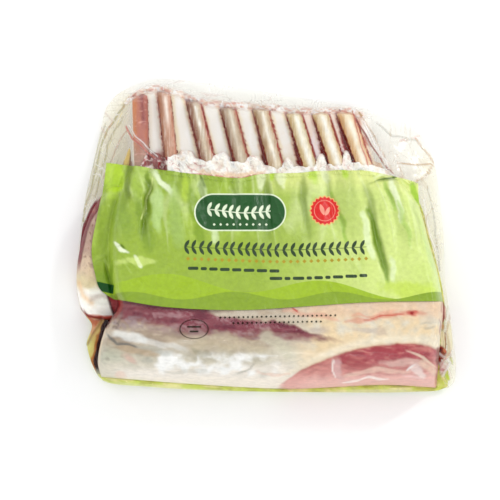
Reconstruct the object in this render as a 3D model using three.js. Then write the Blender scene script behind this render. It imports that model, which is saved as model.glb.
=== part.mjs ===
// A raw rack of lamb sealed in a tight film bag, lying flat with the outer side of its ribs up.
// Millimetres. +X runs along the loin to the right, +Y from the loin to the rib tips, +Z is up.
// The film has no air under it, so the bag's skin is the form of what it holds: a thick loin along
// the front, a flatter plate of ribs, eight bare rib ends, webs of film between them and a thin rim.
// A clear bag that can't be opened is one closed body, made here as a fine net of columns and rows.
import * as THREE from 'three';
import { mergeVertices } from 'three/addons/utils/BufferGeometryUtils.js';

// Heights over the table.
const CREST_Z = 52;
const RIB_ROOT_Z = 29;
const RIB_TIP_Z = 14;
const SECOND_RACK_Z = 25;
const RIM_Z = 4;
const RIM_WAVE = 0.9;
const RIM_WAVE_LENGTH = 34;
const SKIN = 1.2;

// The bag's rim: X of the left and right edges by Y, and Y of the far and near edges by X.
const LEFT_RIM = [[-93, -100], [-87, -106], [-68, -112.5], [-56, -109.5], [-47, -116], [-25, -119],
  [18, -114], [49, -107.5], [76, -101.5], [86, -98]];
const RIGHT_RIM = [[-97, 112], [-91, 118], [-68, 118], [-34, 113], [3, 111], [45, 105.5], [68, 96]];
const FAR_RIM = [[-100, 81], [-92, 89.5], [-71, 98], [-28, 94.5], [21, 86.5], [66, 78.5], [96, 67]];
const NEAR_RIM = [[-106, -89], [-98, -92.7], [-78, -94.7], [-41, -97], [21, -98.3], [105, -97.7],
  [118, -93]];

// The food's own outline: X of the first rack's ends, X of the second rack under it, and the loin's foot.
const LEFT_END = [[-89, -103], [-78, -105], [-59, -100.5], [-44, -93], [-34, -96.5], [-3, -99],
  [21, -95.5], [43, -87], [84, -90]];
const RIGHT_END = [[-95, 106.5], [-65, 108.5], [-47, 110.5], [-28, 108], [-5, 102], [18, 95.5], [31, 86],
  [41, 74], [76, 66]];
const SECOND_RACK_END = [[-58, -98], [-50, -112], [-40, -117], [-25, -118.5], [-6, -116], [12, -110.5],
  [26, -102], [43, -88]];
const SECOND_RACK_NEAR_Y = -53;
const SECOND_RACK_FAR_Y = 31;
const SECOND_RACK_HIDDEN_X = -75;
const LOIN_FOOT = [[-104, -88.5], [-47, -93], [15, -96], [74, -93.6], [107, -95.4]];

// The lie of the meat from the loin's front to the ribs' roots: height by Y.
const MEAT_Z = [[-96, CREST_Z], [-66, CREST_Z], [-50, 49.5], [-35, 45.5], [-10, 39.5], [20, 33], [46, 26]];
const SHOULDER_Y = -38;
const CREST_Y = -66;
const FRONT_WALL = 27;
const END_WALL = 9;
const ROOT_WALL = 13;
const SECOND_WALL = 9;
const FOOT_WALL = 10;

// Each frenched rib: where its bare end starts and meets the meat, and its half width.
const RIBS = [
  { tip: [-79, 87.5], root: [-77, 43], radius: 5 },
  { tip: [-64, 89.5], root: [-58.5, 43], radius: 4.2 },
  { tip: [-45.5, 83.5], root: [-35.5, 43], radius: 4.7 },
  { tip: [-24, 79.5], root: [-15, 44], radius: 5.1 },
  { tip: [-3.5, 79], root: [5.5, 43], radius: 5.3 },
  { tip: [17.5, 76], root: [26.5, 44], radius: 5.2 },
  { tip: [34, 76], root: [43.5, 44], radius: 5.6 },
  { tip: [49.5, 76.5], root: [60, 44], radius: 5.8 },
];
const RIB_BEND = 60;
const RIB_END_ROUND = 4;
const RIDGE_RISE = 1.3;
const RIDGE_REACH = 70;
const WEB_DROP = 6.5;
const SCRAP_RISE = 4.5;
const SCRAP_SPREAD = 5.5;

// Soft swells of fat and muscle on the loin: middle, reach along X and Y, and rise.
const SWELLS = [
  { at: [78, -80], reach: [30, 9], rise: 2.2 },
  { at: [-20, -58], reach: [34, 9], rise: 1.4 },
  { at: [-92, -66], reach: [12, 10], rise: 1.6 },
  { at: [60, -56], reach: [22, 7], rise: -1.4 },
  { at: [-68, -74], reach: [30, 3.5], rise: -1.6 },
];

const clamp = (value, low = 0, high = 1) => Math.min(Math.max(value, low), high);
const mix = (a, b, share) => a + (b - a) * share;

// A smooth curve through points [t, value], straight beyond both ends.
function curve(points) {
  const last = points.length - 1;
  const slope = (i) => {
    const before = points[Math.max(i - 1, 0)];
    const after = points[Math.min(i + 1, last)];
    return (after[1] - before[1]) / (after[0] - before[0]);
  };
  return (t) => {
    if (t <= points[0][0]) return points[0][1] + slope(0) * (t - points[0][0]);
    if (t >= points[last][0]) return points[last][1] + slope(last) * (t - points[last][0]);
    const i = points.findIndex((point) => point[0] > t) - 1;
    const [t0, a] = points[i];
    const [t1, b] = points[i + 1];
    const step = t1 - t0;
    const s = (t - t0) / step;
    const bend = s * s * (3 - 2 * s);
    const pull = s * (1 - s) * step * (slope(i) * (1 - s) - slope(i + 1) * s);
    return mix(a, b, bend) + pull;
  };
}

// A quarter-circle rise from 0 at an edge to 1 at a distance of reach inside it.
function swell(distance, reach) {
  const t = clamp(distance / reach);
  return Math.sqrt(t * (2 - t));
}

// The higher of two surfaces, with the crease between them filled over a height of fillet.
function highest(a, b, fillet) {
  const near = Math.max(fillet - Math.abs(a - b), 0) / fillet;
  return Math.max(a, b) + near * near * fillet / 4;
}

const leftRim = curve(LEFT_RIM);
const rightRim = curve(RIGHT_RIM);
const farRim = curve(FAR_RIM);
const nearRim = curve(NEAR_RIM);
const leftEnd = curve(LEFT_END);
const rightEnd = curve(RIGHT_END);
const secondRackEnd = curve(SECOND_RACK_END);
const loinFoot = curve(LOIN_FOOT);
const meatZ = curve(MEAT_Z);
const tipY = curve([[-104, 70], ...RIBS.map((rib) => rib.tip), [66, 71], [98, 59]]);
const rootY = curve([[-106, 41], ...RIBS.map((rib) => rib.root), [78, 40], [105, 36]]);

// X of a rib's axis: straight along its bare end, and bending upright on its way into the loin.
function ribX({ tip, root }, y) {
  const lean = (root[0] - tip[0]) / (tip[1] - root[1]);
  const inside = Math.max(root[1] - y, 0);
  const outside = Math.min(root[1] - y, 0);
  return root[0] + lean * (outside + RIB_BEND * (1 - Math.exp(-inside / RIB_BEND)));
}

const rimZ = (x, y) => RIM_Z + RIM_WAVE * Math.sin((x - 0.7 * y) * 2 * Math.PI / RIM_WAVE_LENGTH);

// Height of the bare ribs' tops, which slope down to their tips.
function ribTopZ(x, y) {
  const along = clamp((tipY(x) - y) / (tipY(x) - rootY(x)), -0.3, 1.2);
  return mix(RIB_TIP_Z, RIB_ROOT_Z, along);
}

// The film where it spans from food to rim: level between the ribs, sinking to the rim all round.
function webZ(x, y) {
  const toLeft = (x - leftRim(y)) / (ribX(RIBS[0], y) - leftRim(y));
  const toRight = (rightRim(y) - x) / (rightRim(y) - ribX(RIBS[7], y));
  const toFar = (farRim(x) - y) / (farRim(x) - tipY(x));
  const toNear = mix(1, 0.2, clamp((rootY(x) - y) / 80)) * clamp((y - nearRim(x)) / 20);
  const tent = clamp(toLeft) * clamp(toRight) * clamp(toFar) * toNear;
  return rimZ(x, y) + (ribTopZ(x, y) - WEB_DROP - rimZ(x, y)) * tent;
}

// The first rack's meat and fat, round at its ends, its front and towards the bare ribs.
function rackZ(x, y) {
  let top = meatZ(y);
  for (const rib of RIBS) {
    const across = (x - ribX(rib, y)) / rib.radius;
    top += RIDGE_RISE * Math.exp(-across * across) * clamp(1 - (rib.root[1] - y) / RIDGE_REACH);
  }
  for (const { at, reach, rise } of SWELLS) {
    const away = ((x - at[0]) / reach[0]) ** 2 + ((y - at[1]) / reach[1]) ** 2;
    top += rise * Math.exp(-away);
  }
  const ends = swell(x - leftEnd(y), END_WALL) * swell(rightEnd(y) - x, END_WALL);
  const front = swell(y - loinFoot(x), FRONT_WALL);
  const back = swell(rootY(x) + 4 - y, ROOT_WALL);
  return mix(RIM_Z, top, ends * front * back);
}

// The second rack lies under the first and shows at the left only.
function secondRackZ(x, y) {
  const side = swell(x - secondRackEnd(y), SECOND_WALL) * swell(SECOND_RACK_HIDDEN_X - x, SECOND_WALL);
  const near = swell(y - SECOND_RACK_NEAR_Y, SECOND_WALL);
  const far = swell(SECOND_RACK_FAR_Y - y, SECOND_WALL);
  return mix(RIM_Z, SECOND_RACK_Z, side * near * far);
}

// A bare rib: half round across, with a rounded cut end.
function boneZ(rib, x, y) {
  const across = Math.abs(x - ribX(rib, y)) / rib.radius;
  if (across >= 1 || y < rib.root[1] - ROOT_WALL) return -Infinity;
  const end = swell(rib.tip[1] + 1 - y, RIB_END_ROUND);
  const crown = ribTopZ(x, y) * end;
  return crown - rib.radius * (1 - Math.sqrt(1 - across * across));
}

// Scraped fat piles up in the foot of each gap between two ribs.
function scrapRise(x, y) {
  let rise = 0;
  for (let i = 1; i < RIBS.length; i++) {
    const middle = (ribX(RIBS[i - 1], y) + ribX(RIBS[i], y)) / 2;
    const away = ((x - middle) / SCRAP_SPREAD) ** 2 + ((y - rootY(x) - 3) / SCRAP_SPREAD) ** 2;
    rise += SCRAP_RISE * Math.exp(-away);
  }
  return rise;
}

function topZ(x, y) {
  let z = highest(webZ(x, y) + scrapRise(x, y), secondRackZ(x, y), 2);
  z = highest(z, rackZ(x, y), 2.5);
  for (const rib of RIBS) z = highest(z, boneZ(rib, x, y), 1.5);
  return z;
}

// Flat on the table under both racks, and climbing to the ribs and the rim outside them.
function bottomZ(x, y) {
  const left = y > SECOND_RACK_NEAR_Y ? Math.min(leftEnd(y), secondRackEnd(y)) : leftEnd(y);
  const sides = swell(x - left, FOOT_WALL)
    * swell(rightEnd(y) - x, FOOT_WALL) * swell(y - loinFoot(x), FOOT_WALL);
  const back = swell(rootY(x) - 12 - y, 2 * FOOT_WALL);
  let z = (webZ(x, y) - SKIN) * (1 - sides * back);
  for (const rib of RIBS) {
    const across = Math.abs(x - ribX(rib, y)) / rib.radius;
    if (across < 1 && y < rib.tip[1] && y > rib.root[1] - ROOT_WALL) {
      const belly = ribTopZ(x, y) - rib.radius * (1 + Math.sqrt(1 - across * across));
      z = Math.min(z, Math.max(belly, 0));
    }
  }
  return Math.min(z, topZ(x, y) - SKIN);
}

// Columns of the net, each a line X by Y. Steep walls and ribs get close columns.
const between = (a, b, share) => (y) => mix(a(y), b(y), share);
const ribLine = (rib, offset) => (y) => ribX(rib, y) + offset * rib.radius;
const columns = [];
for (const share of [0, 0.05, 0.15, 0.32, 0.55, 0.8]) columns.push(between(leftRim, leftEnd, share));
for (const share of [0, 0.03, 0.1, 0.22, 0.4, 0.6]) columns.push(between(leftEnd, ribLine(RIBS[0], -1), share));
RIBS.forEach((rib, i) => {
  for (const offset of [-1.15, -0.75, 0, 0.75, 1.15]) columns.push(ribLine(rib, offset));
  if (i < RIBS.length - 1) columns.push(between(ribLine(rib, 1), ribLine(RIBS[i + 1], -1), 0.5));
});
for (const share of [0.3, 0.52, 0.7, 0.84, 0.94, 1]) columns.push(between(ribLine(RIBS[7], 1), rightEnd, share));
for (const share of [0.25, 0.5, 0.75, 1]) columns.push(between(rightEnd, rightRim, share));

// Rows of the net, each a line Y by X. Each band has its own count, and the front wall bunches at its foot.
const rows = [];
function band(from, to, count, spacing = (share) => share) {
  for (let i = 0; i < count; i++) rows.push((x) => mix(from(x), to(x), spacing(i / count)));
}
band(farRim, tipY, 4);
band(tipY, rootY, 10);
band(rootY, () => SHOULDER_Y, 8);
band(() => SHOULDER_Y, () => CREST_Y, 5);
band(() => CREST_Y, loinFoot, 9, (share) => Math.sin(share * Math.PI / 2));
band(loinFoot, nearRim, 2);
rows.push(nearRim);

// Where a column and a row cross: a few passes settle it, as each depends a little on the other.
function crossing(column, row) {
  let x = column(0);
  let y = row(x);
  for (let pass = 0; pass < 12; pass++) {
    x = column(y);
    y = row(x);
  }
  return [x, y];
}

// A box with that net on both its faces becomes the bag.
const net = new THREE.BoxGeometry(1, 1, 1, columns.length - 1, rows.length - 1, 1);
net.deleteAttribute('normal');
net.deleteAttribute('uv');
const skin = mergeVertices(net);
const place = skin.attributes.position;
for (let i = 0; i < place.count; i++) {
  const column = Math.round((place.getX(i) + 0.5) * (columns.length - 1));
  const row = Math.round((0.5 - place.getY(i)) * (rows.length - 1));
  const [x, y] = crossing(columns[column], rows[row]);
  place.setXYZ(i, x, y, place.getZ(i) > 0 ? topZ(x, y) : bottomZ(x, y));
}
skin.computeBoundingBox();
const middle = skin.boundingBox.getCenter(new THREE.Vector3());
skin.translate(-middle.x, -middle.y, -skin.boundingBox.min.z);
skin.computeVertexNormals();

const film = new THREE.MeshStandardMaterial({ color: 0xe6d9cf, roughness: 0.25, metalness: 0 });
const bag = new THREE.Mesh(skin, film);
bag.name = 'sealed_bag';
const pack = new THREE.Group();
pack.add(bag);

export default pack;
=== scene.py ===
# %% [markdown]
# # A raw rack of lamb, shrunk tight in a printed film bag
# The real object is a butcher's vacuum pack. A trimmed rack of lamb lies with its ribs' outer side up,
# a second rack lies under it and shows at the left, and a clear bag with a lime green printed band is
# drawn down on both with no air left inside. Each layer here is its own mesh: the two sheets of film,
# the ink on them, the meat with its fat, the eight bare ribs, and the juice and scraps between.

# %% Load the frame
import math
import bpy
import numpy as np
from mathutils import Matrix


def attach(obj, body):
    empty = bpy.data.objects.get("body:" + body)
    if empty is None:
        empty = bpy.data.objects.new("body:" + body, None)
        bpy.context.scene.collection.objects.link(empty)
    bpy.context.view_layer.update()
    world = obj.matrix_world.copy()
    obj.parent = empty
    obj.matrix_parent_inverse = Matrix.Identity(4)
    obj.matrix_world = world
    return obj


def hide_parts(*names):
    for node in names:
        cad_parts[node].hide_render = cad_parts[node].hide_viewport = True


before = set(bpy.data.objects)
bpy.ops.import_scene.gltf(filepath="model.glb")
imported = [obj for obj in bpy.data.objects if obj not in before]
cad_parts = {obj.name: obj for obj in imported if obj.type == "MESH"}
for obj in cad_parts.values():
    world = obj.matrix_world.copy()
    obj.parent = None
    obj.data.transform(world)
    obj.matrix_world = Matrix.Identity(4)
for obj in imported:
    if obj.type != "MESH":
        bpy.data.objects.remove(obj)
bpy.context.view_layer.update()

# %% [markdown]
# ## The form
# The bag was built as one solid whose skin is the form of the food. The same sizes, in millimetres, are
# worked out again here on fine arrays, so every layer can lie a hair above or below that skin.
# X runs along the loin, Y from the loin to the rib tips, and Z is up.

# %% Sizes in millimetres
CREST_Z = 52.0
RIB_ROOT_Z = 29.0
RIB_TIP_Z = 14.0
SECOND_RACK_Z = 25.0
RIM_Z = 4.0
RIM_WAVE = 0.9
RIM_WAVE_LENGTH = 34.0
SKIN = 1.2
LEFT_RIM = [(-93, -100), (-87, -106), (-68, -112.5), (-56, -109.5), (-47, -116), (-25, -119),
            (18, -114), (49, -107.5), (76, -101.5), (86, -98)]
RIGHT_RIM = [(-97, 112), (-91, 118), (-68, 118), (-34, 113), (3, 111), (45, 105.5), (68, 96)]
FAR_RIM = [(-100, 81), (-92, 89.5), (-71, 98), (-28, 94.5), (21, 86.5), (66, 78.5), (96, 67)]
NEAR_RIM = [(-106, -89), (-98, -92.7), (-78, -94.7), (-41, -97), (21, -98.3), (105, -97.7), (118, -93)]
LEFT_END = [(-89, -103), (-78, -105), (-59, -100.5), (-44, -93), (-34, -96.5), (-3, -99),
            (21, -95.5), (43, -87), (84, -90)]
RIGHT_END = [(-95, 106.5), (-65, 108.5), (-47, 110.5), (-28, 108), (-5, 102), (18, 95.5), (31, 86),
             (41, 74), (76, 66)]
SECOND_RACK_END = [(-58, -98), (-50, -112), (-40, -117), (-25, -118.5), (-6, -116), (12, -110.5),
                   (26, -102), (43, -88)]
SECOND_RACK_NEAR_Y = -53.0
SECOND_RACK_FAR_Y = 31.0
SECOND_RACK_HIDDEN_X = -75.0
LOIN_FOOT = [(-104, -88.5), (-47, -93), (15, -96), (74, -93.6), (107, -95.4)]
MEAT_Z = [(-96, CREST_Z), (-66, CREST_Z), (-50, 49.5), (-35, 45.5), (-10, 39.5), (20, 33), (46, 26)]
SHOULDER_Y = -38.0
CREST_Y = -66.0
FRONT_WALL = 27.0
END_WALL = 9.0
ROOT_WALL = 13.0
SECOND_WALL = 9.0
FOOT_WALL = 10.0
RIB_TIPS = [(-79, 87.5), (-64, 89.5), (-45.5, 83.5), (-24, 79.5), (-3.5, 79), (17.5, 76), (34, 76),
            (49.5, 76.5)]
RIB_ROOTS = [(-77, 43), (-58.5, 43), (-35.5, 43), (-15, 44), (5.5, 43), (26.5, 44), (43.5, 44), (60, 44)]
RIB_RADII = [5.0, 4.2, 4.7, 5.1, 5.3, 5.2, 5.6, 5.8]
RIBS = list(zip(RIB_TIPS, RIB_ROOTS, RIB_RADII))
RIB_BEND = 60.0
RIB_END_ROUND = 4.0
RIDGE_RISE = 1.3
RIDGE_REACH = 70.0
WEB_DROP = 6.5
SCRAP_RISE = 4.5
SCRAP_SPREAD = 5.5
FILM_SOFT_TOP = 52.6
FILM_HEADROOM = 0.8
SWELLS = [
    ((78, -80), (30, 9), 2.2),
    ((-20, -58), (34, 9), 1.4),
    ((-92, -66), (12, 10), 1.6),
    ((60, -56), (22, 7), -1.4),
    ((-68, -74), (30, 3.5), -1.6),
]
print(len(RIBS), "ribs")


# %% [markdown]
# ### Curves and rises
# The bag has no straight edge. Each outline is a smooth curve through a few measured points, and each
# wall of food is a quarter-circle rise from such a line. Spline objects would draw the same lines, but
# a function can also be asked for the height at any X and Y.

# %% Curves and rises
def mix(a, b, share):
    return a + (b - a) * share


def clamp(value, low=0.0, high=1.0):
    return np.minimum(np.maximum(value, low), high)


def ease(value, start, end):
    """0 before start, 1 after end, and a smooth step between."""
    s = clamp((value - start) / (end - start))
    return s * s * (3 - 2 * s)


def curve(points):
    """A smooth curve through points (t, value), straight beyond both ends."""
    t, v = np.array(points, float).T
    slope = np.concatenate([
        [(v[1] - v[0]) / (t[1] - t[0])],
        (v[2:] - v[:-2]) / (t[2:] - t[:-2]),
        [(v[-1] - v[-2]) / (t[-1] - t[-2])],
    ])

    def at(x):
        x = np.asarray(x, float)
        i = np.clip(np.searchsorted(t, x, side="right") - 1, 0, len(t) - 2)
        step = t[i + 1] - t[i]
        s = clamp((x - t[i]) / step)
        pull = s * (1 - s) * step * (slope[i] * (1 - s) - slope[i + 1] * s)
        inside = mix(v[i], v[i + 1], s * s * (3 - 2 * s)) + pull
        before = slope[0] * np.minimum(x - t[0], 0)
        after = slope[-1] * np.maximum(x - t[-1], 0)
        return inside + before + after

    return at


def swell(distance, reach):
    """A quarter-circle rise from 0 at an edge to 1 at a distance of reach inside it."""
    t = clamp(distance / reach)
    return np.sqrt(t * (2 - t))


def highest(a, b, fillet):
    """The higher of two surfaces, with the crease between them filled."""
    near = np.maximum(fillet - np.abs(a - b), 0) / fillet
    return np.maximum(a, b) + near * near * fillet / 4


left_rim = curve(LEFT_RIM)
right_rim = curve(RIGHT_RIM)
far_rim = curve(FAR_RIM)
near_rim = curve(NEAR_RIM)
left_end = curve(LEFT_END)
right_end = curve(RIGHT_END)
second_rack_end = curve(SECOND_RACK_END)
loin_foot = curve(LOIN_FOOT)
meat_z = curve(MEAT_Z)
tip_y = curve([(-104, 70), *RIB_TIPS, (66, 71), (98, 59)])
root_y = curve([(-106, 41), *RIB_ROOTS, (78, 40), (105, 36)])
print("bag", round(float(right_rim(0) - left_rim(0)), 1), "mm long at its middle")

# %% [markdown]
# ### Where the print lies
# The printed band is part of the film, and shrinking has pulled it out of square, so four curves bound
# it. They are kept apart from its mesh, because the fat, the pleats and the meat ask for them too.

# %% Outline of the print
PRINT_FAR = [(-101, 45.5), (-69, 40.3), (-41, 36.6), (-16, 34.4), (-4, 36.8), (21, 37.8), (34, 38.9),
             (58, 39.2), (71, 37.6), (78, 36.6), (90, 34), (98, 31)]
PRINT_NEAR = [(-93, -40.6), (-60, -45.6), (-16, -47.4), (21, -45.3), (64.5, -42.5), (112, -41.9)]
PRINT_LEFT = [(-42, -91.5), (-35, -102), (-26, -105.5), (-10, -108), (12, -104.5), (34, -101), (46, -99.8)]
PRINT_RIGHT = [(-42, 110.4), (-22, 106.6), (-5, 101.7), (18, 96), (34, 94.9)]
print_far = curve(PRINT_FAR)
print_near = curve(PRINT_NEAR)
print_left = curve(PRINT_LEFT)
print_right = curve(PRINT_RIGHT)
print("print", round(float(print_far(0) - print_near(0)), 1), "mm wide at its middle")

# %% [markdown]
# ## The food's skin
# A shrunk bag takes the highest of everything it covers: the rack, the end of the second rack, each
# bare rib, and the web of film that spans between them and sinks to the rim.

# %% The surfaces that the film is drawn over
def rib_x(rib, y):
    """X of a rib's axis, straight along its bare end and bending upright on its way into the loin."""
    tip, root, _ = rib
    lean = (root[0] - tip[0]) / (tip[1] - root[1])
    inside = np.maximum(root[1] - y, 0)
    outside = np.minimum(root[1] - y, 0)
    return root[0] + lean * (outside + RIB_BEND * (1 - np.exp(-inside / RIB_BEND)))


def rim_z(x, y):
    return RIM_Z + RIM_WAVE * np.sin((x - 0.7 * y) * 2 * math.pi / RIM_WAVE_LENGTH)


def rib_top_z(x, y):
    along = clamp((tip_y(x) - y) / (tip_y(x) - root_y(x)), -0.3, 1.2)
    return mix(RIB_TIP_Z, RIB_ROOT_Z, along)


def web_z(x, y):
    to_left = (x - left_rim(y)) / (rib_x(RIBS[0], y) - left_rim(y))
    to_right = (right_rim(y) - x) / (right_rim(y) - rib_x(RIBS[-1], y))
    to_far = (far_rim(x) - y) / (far_rim(x) - tip_y(x))
    to_near = mix(1, 0.2, clamp((root_y(x) - y) / 80)) * clamp((y - near_rim(x)) / 20)
    tent = clamp(to_left) * clamp(to_right) * clamp(to_far) * to_near
    return rim_z(x, y) + (rib_top_z(x, y) - WEB_DROP - rim_z(x, y)) * tent


def rack_z(x, y):
    top = meat_z(y)
    for rib in RIBS:
        across = (x - rib_x(rib, y)) / rib[2]
        top = top + RIDGE_RISE * np.exp(-across * across) * clamp(1 - (rib[1][1] - y) / RIDGE_REACH)
    for at, reach, rise in SWELLS:
        away = ((x - at[0]) / reach[0]) ** 2 + ((y - at[1]) / reach[1]) ** 2
        top = top + rise * np.exp(-away)
    ends = swell(x - left_end(y), END_WALL) * swell(right_end(y) - x, END_WALL)
    front = swell(y - loin_foot(x), FRONT_WALL)
    back = swell(root_y(x) + 4 - y, ROOT_WALL)
    return mix(RIM_Z, top, ends * front * back)


def second_rack_z(x, y):
    side = swell(x - second_rack_end(y), SECOND_WALL) * swell(SECOND_RACK_HIDDEN_X - x, SECOND_WALL)
    near = swell(y - SECOND_RACK_NEAR_Y, SECOND_WALL)
    far = swell(SECOND_RACK_FAR_Y - y, SECOND_WALL)
    return mix(RIM_Z, SECOND_RACK_Z, side * near * far)


def bone_z(rib, x, y):
    across = np.abs(x - rib_x(rib, y)) / rib[2]
    crown = rib_top_z(x, y) * swell(rib[0][1] + 1 - y, RIB_END_ROUND)
    drop = rib[2] * (1 - np.sqrt(1 - clamp(across) ** 2))
    fade = ease(y, rib[1][1] - ROOT_WALL, rib[1][1] - 2)
    there = (across < 1) & (y >= rib[1][1] - ROOT_WALL)
    return np.where(there, crown - drop - 6 * (1 - fade), -100.0)


def gap_x(i, y):
    """The middle of the gap between a rib and the next one."""
    return (rib_x(RIBS[i], y) + rib_x(RIBS[i + 1], y)) / 2


def scrap_rise(x, y):
    rise = 0.0
    for i in range(len(RIBS) - 1):
        away = ((x - gap_x(i, y)) / SCRAP_SPREAD) ** 2 + ((y - root_y(x) - 3) / SCRAP_SPREAD) ** 2
        rise = rise + SCRAP_RISE * np.exp(-away)
    return rise


def food_z(x, y):
    """The skin of all that the bag holds, and of the web between."""
    z = highest(web_z(x, y) + scrap_rise(x, y), second_rack_z(x, y), 2.0)
    z = highest(z, rack_z(x, y), 2.5)
    for rib in RIBS:
        z = highest(z, bone_z(rib, x, y), 1.5)
    return z


def under_z(x, y):
    """The underside, flat on the table under both racks."""
    left = np.where(y > SECOND_RACK_NEAR_Y, np.minimum(left_end(y), second_rack_end(y)), left_end(y))
    sides = swell(x - left, FOOT_WALL) * swell(right_end(y) - x, FOOT_WALL)
    sides = sides * swell(y - loin_foot(x), FOOT_WALL)
    back = swell(root_y(x) - 12 - y, 2 * FOOT_WALL)
    z = (web_z(x, y) - SKIN) * (1 - sides * back)
    for rib in RIBS:
        across = np.abs(x - rib_x(rib, y)) / rib[2]
        there = (across < 1) & (y < rib[0][1]) & (y > rib[1][1] - ROOT_WALL)
        belly = rib_top_z(x, y) - rib[2] * (1 + np.sqrt(1 - clamp(across) ** 2))
        z = np.where(there, np.minimum(z, np.maximum(belly, 0)), z)
    return np.minimum(z, food_z(x, y) - SKIN)


print("crest of the food, mm:", np.round(food_z(np.zeros(1), np.full(1, CREST_Y)), 1))

# %% [markdown]
# ## Crinkles
# Thick vacuum film creases where it has more cloth than it needs, most of all in the skirt outside the
# food. Lattice noise with its valleys turned into sharp ridges makes such creases. The long folds that
# the pack shows are placed one by one, each a line with a rise and a width.

# %% Noise and folds
def noise(x, y, seed):
    """Smooth lattice noise from -1 to 1, one cell to a unit."""
    table = np.random.default_rng(seed).random((256, 256)) * 2 - 1
    xi = np.floor(x).astype(int)
    yi = np.floor(y).astype(int)
    fx = x - xi
    fy = y - yi
    fx = fx * fx * (3 - 2 * fx)
    fy = fy * fy * (3 - 2 * fy)
    near = mix(table[xi % 256, yi % 256], table[(xi + 1) % 256, yi % 256], fx)
    far = mix(table[xi % 256, (yi + 1) % 256], table[(xi + 1) % 256, (yi + 1) % 256], fx)
    return mix(near, far, fy)


def clouds(x, y, size, seed, octaves=4):
    """Layers of noise, each half as wide and half as strong as the last."""
    total = 0.0
    weight = 1.0
    for octave in range(octaves):
        scale = 2.0 ** octave / size
        total = total + weight * noise(x * scale + 17.3 * octave, y * scale - 9.1 * octave, seed + octave)
        weight *= 0.5
    return total / 1.6


def creases(x, y, size, seed, turn=0.0, stretch=1.0):
    """0 to 1, with sharp crests that wander and run across the turned x axis."""
    c, s = math.cos(turn), math.sin(turn)
    u = (c * x + s * y) / size
    v = (c * y - s * x) / (size * stretch)
    u = u + 0.5 * noise(u * 0.7, v * 0.7, seed + 50)
    v = v * 0.6 + 0.5 * noise(u * 0.6 + 5, v * 0.6, seed + 51)
    return (1 - np.abs(noise(u, v, seed))) ** 4


def line_share(x, y, path, width, wander=0.7, taper=0.0):
    """1 on a bent line and 0 a few widths off it; taper is how much it fades towards its ends."""
    wx = x + wander * noise(x / 7, y / 7, 41)
    wy = y + wander * noise(x / 7, y / 7, 42)
    best = np.full(np.shape(x), 99.0)
    run = np.zeros(np.shape(x))
    for i, ((x0, y0), (x1, y1)) in enumerate(zip(path, path[1:])):
        run_x, run_y = x1 - x0, y1 - y0
        along = clamp(((wx - x0) * run_x + (wy - y0) * run_y) / (run_x ** 2 + run_y ** 2))
        away = np.hypot(wx - x0 - along * run_x, wy - y0 - along * run_y)
        run = np.where(away < best, (i + along) / (len(path) - 1), run)
        best = np.minimum(best, away)
    return np.exp(-(best / width) ** 2) * mix(1.0, np.sin(math.pi * run) ** 0.7, taper)


# %% [markdown]
# ### Folds and grooves
# Spare film stands up as a fold, and between two lumps it is sucked down. A cloth simulation would make
# such folds too, but not where this pack has them, so each is a short path with its size in millimetres.

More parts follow.
